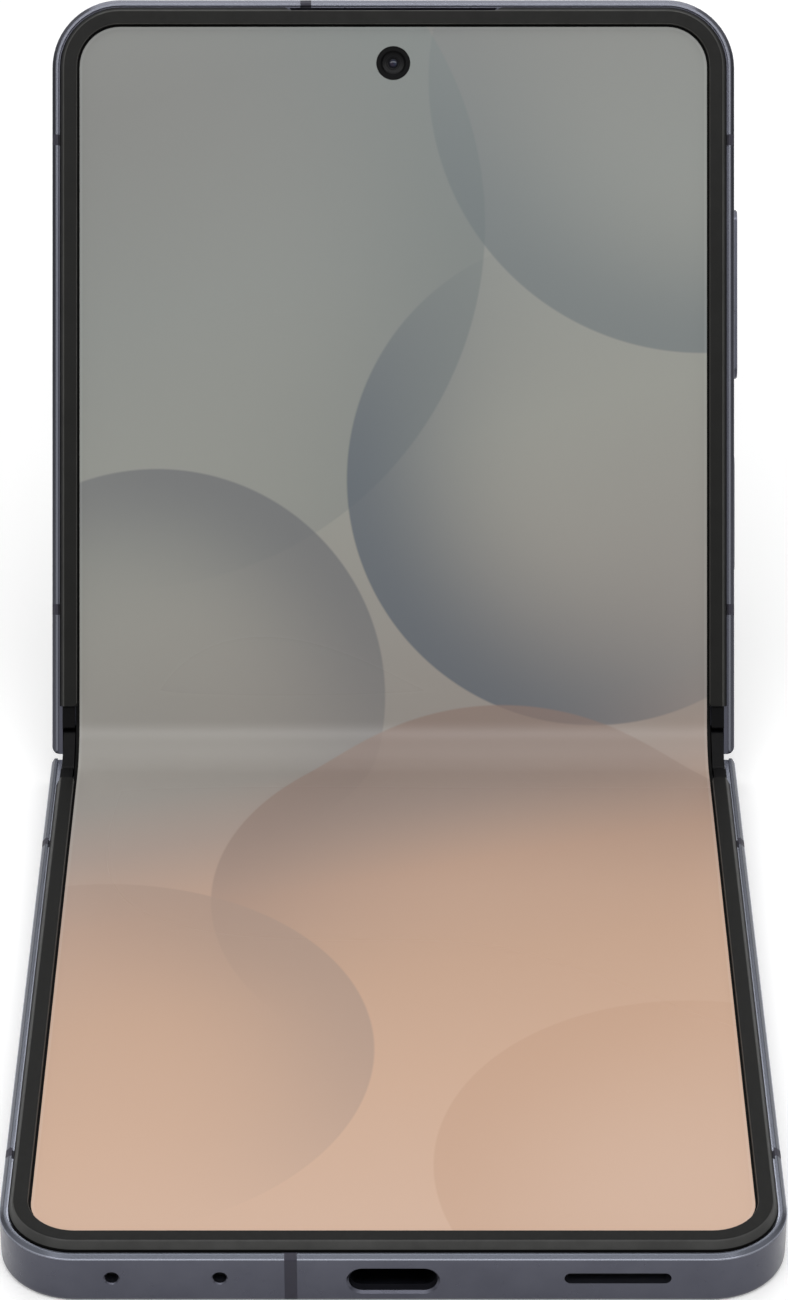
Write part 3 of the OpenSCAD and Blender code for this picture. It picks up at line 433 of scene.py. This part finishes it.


# painted highlight tones of the bevel's foot, face and lip on either half, lighter or darker by how the light
# falls on each half
lowerBevelHighlight = ("8d909b", "5a5d66", "5a5d66")
upperBevelHighlight = ("4f505a", "46474f", "6a6c75")
finishes = {
    "lowerFrame": frameFinish("blastedLowerBevelHighlight", "54555f", "4b4c56", lowerBevelHighlight, lowerPlace),
    "upperFrame": frameFinish("blastedUpperBevelHighlight", "54555f", "4b4c56", upperBevelHighlight, upperPlace),
    "aluminium": finish("blastedAluminium", "52535d", "494a54", (0.27, 0.34), 14000, 1.2e-6, metal=0.85),
    "spine": finish("blastedSpine", "4c4d57", "454650", (0.29, 0.36), 14000, 1.2e-6, metal=0.85),
    "rings": finish("turnedRings", "5f606b", "52535d", (0.2, 0.26), 8000, 1e-6, metal=0.9),
    "bands": finish("bandPolymer", "383742", "33323c", (0.42, 0.52), 9000, 1e-6, specular=0.2),
    # both surrounds are one black plastic; their seam, slope, edge and rim tones are painted light and shade,
    # set apart for each half
    "lowerBezel": surroundFinish("lowerSurroundPaintedLight", "070707", "4c4c4b", "4c4c4b", "131312", lowerPlace),
    "upperBezel": surroundFinish("upperSurroundPaintedLight", "0a0a0a", "2a2a29", "4f4f4d", "20201f", upperPlace),
    "cap": finish("capPolymer", "060607", "040405", (0.35, 0.45), 9000, 2e-6, specular=0.07),
    "backGlass": finish("frostedGlass", "555865", "4f525e", (0.36, 0.44), 16000, 1e-6,
                        coat=0.3, coatRough=0.35),
    "coverGlass": finish("coverGlass", "0c0d10", "0a0b0e", (0.06, 0.1), 300, 1e-7, specular=0.15),
    "coverScreen": finish("coverScreen", "0b0c0f", "090a0c", (0.08, 0.12), 4000, 1e-7),
    "steel": finish("hingeSteel", "8f8f96", "7c7c84", (0.25, 0.38), 900, stretch=(1.5, 12, 12), metal=1.0),
    "screws": finish("turnedSteel", "a9a9ae", "8e8e94", (0.2, 0.3), 5000, metal=1.0),
    "brass": finish("gearBronze", "c0a468", "a98c50", (0.28, 0.4), 5000, metal=1.0),
    "battery": foilFinish("batteryFoil", "35373d", "2b2d32", metal=0.3),
    "board": boardFinish("boardLacquer", "215a41", "1a4735", "b8935a", coat=0.4),
    "coil": coilFinish("coilWinding", "c17a4a", "8d4d2a", "charging_coil", metal=1.0),
    "black": finish("mouldedBlack", "232326", "1c1c1f", (0.45, 0.55), 5000, 4e-6),
    "can": finish("shieldCan", "8c8c92", "7f7f86", (0.3, 0.4), 700, 3e-6, stretch=(10, 1.2, 1.2), metal=1.0),
    "port": finish("portShell", "3c3e48", "34363f", (0.3, 0.4), 6000, metal=0.9),
    "mesh": meshFinish("soundMesh", "101018", "040406", specular=0.06),
    "barrel": finish("lensBarrel", "060607", "040405", (0.3, 0.4), 6000, 1e-6, specular=0.05),
    "flash": finish("flashDiffuser", "efe9d6", "e3dbc2", (0.3, 0.4), 3000, 2e-5, coat=0.5),
}
nodeFinish = {
    "lower_frame": "lowerFrame", "upper_frame": "upperFrame", "lower_antenna_bands": "bands",
    "upper_antenna_bands": "bands", "lower_back_glass": "backGlass", "cover_glass": "coverGlass",
    "lower_bezel": "lowerBezel", "upper_bezel": "upperBezel", "lower_fold_trims": "cap",
    "upper_fold_trims": "cap", "lower_battery": "battery", "upper_battery": "battery",
    "lower_board": "board", "main_board": "board", "charging_port": "port", "loudspeaker": "black",
    "microphones": "black", "vibration_motor": "can", "charging_coil": "coil", "spine_cover": "spine",
    "hinge_caps": "cap", "cover_screen": "coverScreen", "front_camera": "barrel", "earpiece": "black",
    "earpiece_mesh": "mesh", "rear_cameras": "black", "camera_rings": "rings",
    "camera_lenses": "barrel", "flash": "flash", "key_switches": "brass", "tray_socket": "can",
    "volume_key": "aluminium", "side_key": "aluminium", "sim_tray": "aluminium",
    "spine_screws": "screws", "lower_screws": "screws", "upper_screws": "screws", "gear_pins": "screws",
}
for name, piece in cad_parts.items():
    # gears are bronze, and any other node that isn't listed is hinge steel
    key = nodeFinish.get(name) or ("brass" if "gears" in name else "steel")
    piece.data.materials.clear()
    piece.data.materials.append(finishes[key])
print("finishes given")


# display

# flatFrom is where the bend ends, counted from the fold line as punchAt is from the far end
display = {
    "inset": 2.7, "front": 5.85, "thickness": 0.7, "flatFrom": 3.9, "punchAt": 7.05, "punchWidth": 3.75,
    "pictureInset": 3.07,               # black border runs from the surround to here: the display's own dark edge, and painted shade of the gap under the surround
    "edgeHighlightInset": 0.24,                   # painted highlight: a faint light line just inside the border,
    "edgeHighlightBlur": 0.08,                   # how wide its own edge is,
    "edgeHighlightShare": 0.05,                  # and how light it is
    "rough": (0.24, 0.32), "roughPatch": 12, "specular": 0.35,
    "foldSoft": 0.08,                   # how much rougher the film is along the fold
    "acrossSteps": 96, "alongSteps": 100, "cornerSteps": 12, "bendSteps": 24, "holeRings": 5,
    "holeHalf": (2.7, 3.0),             # cleared field round the camera hole, across and along
}
# the bend's edge on the upper side in the spine's own frame, and the arc that leaves it flush and lies level
# at the fold
bendDy = display["flatFrom"] - phone["axisOffset"]
bendDz = display["front"] - phone["axisHeight"]
turnCos, turnSin = math.cos(phone["hingeTurn"]), math.sin(phone["hingeTurn"])
bendY = phone["axisOffset"] + bendDy * turnCos - bendDz * turnSin
bendZ = phone["axisHeight"] + bendDy * turnSin + bendDz * turnCos
bendRadius = bendY / turnSin
bendLength = bendRadius * phone["hingeTurn"]

# large soft discs over a grey to peach ground, each darker towards one side of its rim; places in mm across
# and along from the fold's middle, turns in degrees
picture = {
    "ground": [(0.0, "ccaa93"), (0.14, "c9a58c"), (0.25, "c3a088"), (0.36, "ba9a86"), (0.44, "a5948a"),
               (0.5, "9a948e"), (0.58, "9a9791"), (0.7, "9b9c95"), (0.85, "90938f"), (1.0, "868784")],
    "lean": -0.3,                       # how far the ground's bands lean across
    "discs": [
        {"at": (-30, 58), "radius": 40, "fade": 30, "shade": "7f8583", "toward": 20, "strength": 0.9},
        {"at": (22, 30), "radius": 27, "fade": 24, "shade": "56606b", "toward": 215, "strength": 0.82},
        {"at": (34, 74), "radius": 30, "fade": 22, "shade": "6b7478", "toward": 250, "strength": 0.7},
        {"at": (-26, 6), "radius": 25, "fade": 20, "shade": "6a6c70", "toward": 60, "strength": 0.75},
        {"at": (12, -26), "radius": 31, "fade": 28, "shade": "8f7a70", "toward": 115, "strength": 0.72},
        {"at": (-30, -52), "radius": 28, "fade": 26, "shade": "a48c7e", "toward": 40, "strength": 0.7},
        {"at": (30, -70), "radius": 26, "fade": 24, "shade": "c09a80", "toward": 150, "strength": 0.7},
    ],
    "rim": 0.22,                        # width of a disc's soft edge
    "shadeFrom": -0.4,                  # how far to its light side a disc's shade begins, in radii
}


# Disc's weight at a point: none outside its rim, and inside by how near the point is to the rim and how far
# it lies to the disc's darker side
def discWeight(n, disc, x, v):
    dx = n.math("SUBTRACT", x, float(disc["at"][0]))
    dv = n.math("SUBTRACT", v, float(disc["at"][1]))
    size, way = disc["radius"], math.radians(disc["toward"])
    far = n.math("SQRT", n.math("MULTIPLY_ADD", dx, dx, n.math("MULTIPLY", dv, dv)))
    inside = n.span(far, size + picture["rim"], size, 0.0, 1.0)
    rim = n.span(far, size - disc["fade"], size, 0.0, 1.0, smooth=True)
    side = n.math("MULTIPLY_ADD", dx, math.cos(way) / size, n.math("MULTIPLY", dv, math.sin(way) / size))
    shaded = n.span(side, picture["shadeFrom"], 1.0, 0.0, disc["strength"], smooth=True)
    return n.math("MULTIPLY", n.math("MULTIPLY", inside, rim), shaded)


# Distance past a rounded rectangle's outline, less than nothing inside it
def pastOutline(n, x, v, halfWidth, halfLength, r):
    qx = n.math("SUBTRACT", n.math("ABSOLUTE", x), halfWidth - r)
    qv = n.math("SUBTRACT", n.math("ABSOLUTE", v), halfLength - r)
    px, pv = n.math("MAXIMUM", qx, 0.0), n.math("MAXIMUM", qv, 0.0)
    outside = n.math("SQRT", n.math("MULTIPLY_ADD", px, px, n.math("MULTIPLY", pv, pv)))
    inside = n.math("MINIMUM", n.math("MAXIMUM", qx, qv), 0.0)
    return n.math("SUBTRACT", n.math("ADD", outside, inside), r)


# Picture: ground by place along the display, then each disc's shade by its weight, and a painted highlight, a
# faint light line just inside the picture's outline; rougher along the fold
def displayMaterial():
    n = Nodes("displayPicture")
    d = display
    x, v = n.flatPlace()
    half = phone["halfWidth"] - d["pictureInset"]
    span = phone["halfLength"] - d["pictureInset"] - d["flatFrom"] + bendLength
    along = n.math("MULTIPLY_ADD", x, picture["lean"], v)
    colour = n.ramp(n.span(along, -span, span, 0.0, 1.0), picture["ground"])
    for disc in picture["discs"]:
        colour = n.mix(discWeight(n, disc, x, v), colour, tint(disc["shade"]))
    edge = pastOutline(n, x, v, half, span, phone["cornerRadius"] - d["pictureInset"])
    # painted highlight along the picture's edge
    line = n.span(edge, -d["edgeHighlightInset"] - d["edgeHighlightBlur"], -d["edgeHighlightInset"], 0.0, 1.0)
    colour = n.mix(n.math("MULTIPLY", line, d["edgeHighlightShare"]), colour, tint("ffffff"))
    softer = n.span(n.math("ABSOLUTE", v), bendLength / 2, bendLength * 2, d["foldSoft"], 0.0, smooth=True)
    rough = n.span(n.noise(d["roughPatch"], 0.0), 0.0, 1.0, *d["rough"])
    return n.dress(colour, n.math("ADD", softer, rough), specular=d["specular"])


# Outline of one rigid stretch, a step at a time from the fold edge to the far end: reach to the side and
# place along, straight and then round the corner; grow moves it out from the picture's own outline
def displayOutline(grow):
    d = display
    hw, uEnd = phone["halfWidth"] - d["pictureInset"], phone["halfLength"] - d["pictureInset"]
    r = phone["cornerRadius"] - d["pictureInset"]
    turn = np.linspace(0, math.pi / 2, d["cornerSteps"])[1:]
    straight = np.linspace(d["flatFrom"], uEnd - r, d["alongSteps"])
    reach = np.concatenate([np.full_like(straight, hw + grow), hw - r + (r + grow) * np.cos(turn)])
    along = np.concatenate([straight, uEnd - r + (r + grow) * np.sin(turn)])
    return reach[:, None], along[:, None]


# Solid sheet from its front and back points, with walls along each rim; only the front has the picture
def displaySheet(name, front, back, top, slots, rims, uv, sign):
    n = len(front)
    faces = [top, top[:, ::-1] + n]
    for rim in rims:
        after = np.roll(rim, -1)
        faces.append(np.stack([after, rim, rim + n, after + n], -1))
    faces = np.concatenate(faces)
    slots = np.concatenate([slots, np.ones(len(faces) - len(slots), int)])
    points = np.concatenate([front, back])
    return newObject(name, points, faces if sign > 0 else faces[:, ::-1], np.tile(uv, (2, 1)), slots)


# Rigid stretch: rows away from the fold and columns across, each row as wide as the outline there, and a
# border strip outside; where asked, a round hole whose rings run from a cleared field's outline to the circle
def displayPlate(name, place, sign, hole=False):
    d = display
    band = d["pictureInset"] - d["inset"]
    (reach, along), (outReach, outAlong) = displayOutline(0), displayOutline(band)
    x = np.hstack([-outReach, reach * np.linspace(-1, 1, d["acrossSteps"]), outReach])
    u = np.hstack([outAlong, np.repeat(along, d["acrossSteps"], 1), outAlong])
    x = np.vstack([x, x[-1:]])
    u = np.vstack([u, np.full_like(u[-1:], along[-1, 0] + band)])
    rows, cols = x.shape
    flat = np.stack([x, u], -1).reshape(-1, 2)
    top = gridFaces(rows, cols)
    row, col = np.divmod(top[:, 0], cols)               # slot one is the border strip, black as the display's edge and as painted shade
    slots = ((col == 0) | (col == cols - 2) | (row == rows - 2)).astype(int)
    rims = [gridRing(0, rows - 1, 0, cols - 1, cols)]
    if hole:
        uHole = phone["halfLength"] - d["punchAt"]
        r0, r1 = np.searchsorted(along[:, 0], [uHole - d["holeHalf"][1], uHole + d["holeHalf"][1]])
        c0 = np.searchsorted(x[0], -d["holeHalf"][0])
        c1 = cols - 1 - c0
        keep = ~((row >= r0) & (row < r1) & (col >= c0) & (col < c1))
        outer = gridRing(r0, r1, c0, c1, cols)
        start = math.atan2(*(flat[outer[0]] - [0, uHole])[::-1])
        angle = start + 2 * math.pi * np.arange(len(outer)) / len(outer)
        circle = np.stack([np.cos(angle), np.sin(angle)], -1) * d["punchWidth"] / 2 + [0, uHole]
        k = np.linspace(0, 1, d["holeRings"] + 1)[1:, None, None]
        rings = flat[outer] * (1 - k) + circle * k
        ringIndex = len(flat) + np.arange(rings[..., 0].size).reshape(rings.shape[:2])
        index = np.concatenate([outer[None], ringIndex])
        flat = np.concatenate([flat, rings.reshape(-1, 2)])
        a, b = index[:-1], index[1:]
        patch = np.stack([a, b, np.roll(b, -1, 1), np.roll(a, -1, 1)], -1).reshape(-1, 4)
        top = np.concatenate([top[keep], patch])
        slots = np.concatenate([slots[keep], np.zeros(len(patch), int)])
        rims.append(index[-1][::-1])
    level = np.full((len(flat), 1), d["front"])
    front, back = (place(np.hstack([flat, level - drop])) for drop in (0, d["thickness"]))
    uv = np.stack([flat[:, 0], sign * (flat[:, 1] - d["flatFrom"] + bendLength)], -1)
    return displaySheet(name, front, back, top, slots, rims, uv, sign)


# Bend: an arc about a line over the fold, its angle from the middle to one side, swept across
def displayBend(name, sign):
    d = display
    angle = np.linspace(0, phone["hingeTurn"], d["bendSteps"])[:, None] * sign
    half = phone["halfWidth"] - d["pictureInset"]
    outer = phone["halfWidth"] - d["inset"]
    x = np.concatenate([[-outer], np.linspace(-half, half, d["acrossSteps"]), [outer]])
    centre = bendZ + bendRadius * turnCos

    def arc(radius):
        points = np.broadcast_arrays(x, radius * np.sin(angle), centre - radius * np.cos(angle))
        return spinePlace(np.stack(points, -1).reshape(-1, 3))

    front, back = arc(bendRadius), arc(bendRadius + d["thickness"])
    rows, cols = len(angle), len(x)
    top = gridFaces(rows, cols)
    col = top[:, 0] % cols
    slots = ((col == 0) | (col == cols - 2)).astype(int)
    uv = np.stack(np.broadcast_arrays(x, angle * bendRadius), -1).reshape(-1, 2)
    rims = [gridRing(0, rows - 1, 0, cols - 1, cols)]
    return displaySheet(name, front, back, top, slots, rims, uv, sign)


pictureFinish = displayMaterial()
lowerDisplay = displayPlate("lower_display", lowerPlace, -1)
upperDisplay = displayPlate("upper_display", upperPlace, 1, hole=True)
lowerBend = displayBend("lower_bend", -1)
upperBend = displayBend("upper_bend", 1)
# black border: partly the display's own dark edge, partly painted shade in the gap between surround and
# picture
borderAndGapShade = finish("displayBorderAndGapShade", "030303", "010101", (0.4, 0.5), 6000, 1e-6, specular=0.05)
for piece in (lowerDisplay, upperDisplay, lowerBend, upperBend):
    piece.data.materials.append(pictureFinish)
    piece.data.materials.append(borderAndGapShade)
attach(lowerDisplay, "base")
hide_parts("lower_screen")
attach(upperDisplay, "lid")
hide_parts("upper_screen")
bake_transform(lowerBend)
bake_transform(upperBend)
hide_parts("screen_fold")
print("display made")


# cameras

# profiles are radius and height above the upper half's back, in mm; rings are tones by share of the radius
frontLens = {
    "at": (0, phone["halfLength"] - display["punchAt"]), "radius": 1.37,
    # from the middle out, then back to the middle underneath
    "profile": [(0, 5.72), (0.14, 5.715), (0.28, 5.7), (0.4, 5.67), (0.5, 5.63), (0.54, 5.6), (0.57, 5.66),
                (0.64, 5.68), (0.7, 5.68), (0.73, 5.63), (0.92, 5.65), (0.95, 5.7), (1.16, 5.73), (1.19, 5.7),
                (1.3, 5.74), (1.36, 5.77), (1.37, 5.7), (0.9, 5.5), (0, 5.48)],
    "rings": [(0.0, "10131c"), (0.26, "171a26"), (0.33, "0a0b10"), (0.36, "1c1c20"), (0.42, "121215"),
              (0.46, "060608"), (0.6, "0d0d0f"), (0.64, "161618"), (0.76, "0c0c0d"), (0.8, "060607"),
              (0.9, "0e0e0f")],
}
rearLens = {
    "at": [(27.4, 72.15), (11.2, 72.15)], "radius": 5.46,
    "profile": [(0, -0.86), (0.6, -0.85), (1.1, -0.82), (1.5, -0.77), (1.72, -0.72), (1.78, -0.8),
                (2.1, -0.82), (2.16, -0.7), (2.7, -0.72), (2.76, -0.8), (3.2, -0.82), (3.26, -0.74),
                (4.3, -0.78), (4.36, -0.86), (5.3, -0.88), (5.46, -0.84), (5.46, -0.52), (0, -0.5)],
    "rings": [(0.0, "141a2c"), (0.28, "0c0f18"), (0.31, "050506"), (0.33, "2a2a2e"), (0.38, "121214"),
              (0.5, "1e1e21"), (0.58, "26262a"), (0.6, "08080a"), (0.78, "101012"), (0.8, "1c1c20"),
              (0.97, "0b0b0d")],
}
# glass fades out between two shares of the radius; a painted reflection of its coating turns from violet to
# blue round the lens
lensLook = {"glass": (0.2, 0.3), "reflectionShare": 0.55, "paintedReflection": ("2a1c33", "20304c"), "reflectionTurn": 0.8,
            "coat": 0.25, "coatRough": 0.03, "sheen": 5000, "rough": (0.28, 0.34), "glassSmooth": 0.24,
            "lineStep": 0.03, "lineDepth": 2e-6, "specular": 0.08}


# Lens: tones by distance from the middle, a faint painted reflection of the coating on the glass, violet on
# one side and blue on the other, and fine turned lines, the sine of the distance, on the rings round it
def lensFinish(name, rings, size):
    n = Nodes(name)
    look = lensLook
    radius, turn = n.flatPlace()
    glass = n.span(radius, size * look["glass"][0], size * look["glass"][1], 1.0, 0.0)
    # painted coating reflection: violet on one side of the lens, blue on the other
    violetToBlue = n.span(n.math("SINE", n.math("ADD", turn, look["reflectionTurn"])), -1.0, 1.0, 0.0, 1.0)
    paintedReflection = n.mix(violetToBlue, *(tint(code) for code in look["paintedReflection"]))
    colour = n.ramp(n.math("DIVIDE", radius, size), rings)
    colour = n.mix(n.math("MULTIPLY", glass, look["reflectionShare"]), colour, paintedReflection)
    lines = n.math("SINE", n.math("MULTIPLY", radius, 2 * math.pi / (size * look["lineStep"])))
    rough = n.math("MULTIPLY_ADD", glass, -look["glassSmooth"], n.drift(look["sheen"], *look["rough"], 2.0))
    n.put(n.math("MULTIPLY", glass, look["coat"]), n.shader.inputs["Coat Weight"])
    relief = n.bump(n.math("MULTIPLY", lines, n.oneLess(glass)), 0.2, look["lineDepth"])
    return n.dress(colour, rough, relief, coatRough=look["coatRough"], specular=look["specular"])


lens = lathe("front_lens", upperPlace, frontLens["at"], frontLens["profile"][::-1])
lens.data.materials.append(lensFinish("frontLensGlass", frontLens["rings"], frontLens["radius"]))
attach(lens, "lid")
rearFinish = lensFinish("rearLensGlass", rearLens["rings"], rearLens["radius"])
for i, at in enumerate(rearLens["at"]):
    lens = lathe("rear_lens_%d" % (i + 1), upperPlace, at, rearLens["profile"], steps=96)
    lens.data.materials.append(rearFinish)
    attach(lens, "lid")
    if i == 0:
        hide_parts("camera_lenses")
print("cameras made")


# floor, light and camera

# lengths in metres; glow and light are strengths
stage = {
    "floorReach": 4.0, "floorGlow": 0.27, "farGlow": 0.75, "farFrom": 0.3, "farTo": 1.6,
    "paper": ("f2f2f2", "f6f6f6"), "paperPatch": 3, "paperRough": 0.8, "paperSpecular": 0.1,
    "airLight": 0.25, "horizonLight": 0.2,
    "horizon": (0.05, 0.45),            # how far up the air is dim in mirrors, and where it is white
}


# one where a camera, mirror or glass ray looks, else nothing
def seenRay(n):
    path = n.add("LightPath")
    return n.math("MAXIMUM", path.outputs["Is Camera Ray"],
                  n.math("MAXIMUM", path.outputs["Is Glossy Ray"], path.outputs["Is Transmission Ray"]))


# Paper floor: near white by slow noise; camera, mirror and glass rays see it a little brighter, more far away
def floorMaterial():
    n = Nodes("floorPaper")
    far = n.add("VectorMath", operation="LENGTH")
    n.put(n.objectPlace(), far.inputs[0])
    glow = n.span(far.outputs["Value"], stage["farFrom"], stage["farTo"], stage["floorGlow"],
                  stage["farGlow"], smooth=True)
    n.shader.inputs["Emission Color"].default_value = (1, 1, 1, 1)
    n.put(n.math("MULTIPLY", seenRay(n), glow), n.shader.inputs["Emission Strength"])
    paper = n.mix(n.noise(stage["paperPatch"]), *(tint(code) for code in stage["paper"]))
    return n.dress(paper, stage["paperRough"], specular=stage["paperSpecular"])


reach = stage["floorReach"]
corners = [(-reach, -reach, 0), (reach, -reach, 0), (reach, reach, 0), (-reach, reach, 0)]
floor = newObject("floor", corners, [(0, 1, 2, 3)], smooth=False)
floor.data.materials.append(floorMaterial())

# studio air: white to the camera, weak as a light, and in mirrors white overhead but dim along the horizon
world = bpy.data.worlds.new("studioAir")
bpy.context.scene.world = world
world.use_nodes = True
air = Nodes(tree=world.node_tree)
background = air.tree.nodes["Background"]
background.inputs[0].default_value = (1, 1, 1, 1)
way = air.add("SeparateXYZ")
air.put(air.add("TexCoord").outputs["Generated"], way.inputs[0])
mirror = air.add("LightPath").outputs["Is Glossy Ray"]
upward = air.span(way.outputs[2], *stage["horizon"], stage["horizonLight"], 1.0)
shown = air.math("MULTIPLY_ADD", mirror, air.math("SUBTRACT", upward, 1.0), 1.0)
extra = air.math("MULTIPLY", seenRay(air), air.math("SUBTRACT", shown, stage["airLight"]))
air.put(air.math("ADD", extra, stage["airLight"]), background.inputs[1])

lamps = [
    {"name": "overhead", "at": (0, 0.04, 0.85), "to": (0, 0.04, 0), "size": (0.8, 0.5), "power": 2.0},
    {"name": "front", "at": (0, -0.42, 0.70), "to": (0, 0.04, 0.03), "size": (0.9, 0.16), "power": 3.0},
    {"name": "back", "at": (0, 0.62, 0.75), "to": (0, 0.04, 0.03), "size": (0.9, 0.2), "power": 2.3},
]
for lamp in lamps:
    light = bpy.data.lights.new(lamp["name"], "AREA")
    light.shape = "RECTANGLE"
    light.size, light.size_y = lamp["size"]
    light.energy = lamp["power"]
    holder = bpy.data.objects.new(lamp["name"], light)
    holder.location = lamp["at"]
    holder.rotation_euler = (Vector(lamp["to"]) - Vector(lamp["at"])).to_track_quat("-Z", "Y").to_euler()
    bpy.context.scene.collection.objects.link(holder)

# the camera looks square on to the upper half, from straight over a point near its fold end
view = {"aimU": 11.68, "aimZ": 4.98, "away": 474.57, "side": 0.08, "lens": 119.14, "sensor": 36,
        "near": 0.01, "far": 20}
camera = bpy.data.cameras.new("camera")
camera.lens = view["lens"]
camera.sensor_fit = "VERTICAL"
camera.sensor_width = camera.sensor_height = view["sensor"]
camera.clip_start, camera.clip_end = view["near"], view["far"]
cameraHolder = bpy.data.objects.new("camera", camera)
aim = upperPlace([view["side"], view["aimU"], view["aimZ"]])
outward = upperPlace([0, 0, 1]) - upperPlace([0, 0, 0])
outward = outward / np.linalg.norm(outward)
cameraHolder.location = aim + outward * view["away"] * mm
cameraHolder.rotation_euler = (math.atan2(-outward[1], outward[2]), 0, 0)
bpy.context.scene.collection.objects.link(cameraHolder)
bpy.context.scene.camera = cameraHolder
bpy.context.scene.view_settings.view_transform = "Standard"
print("stage set")
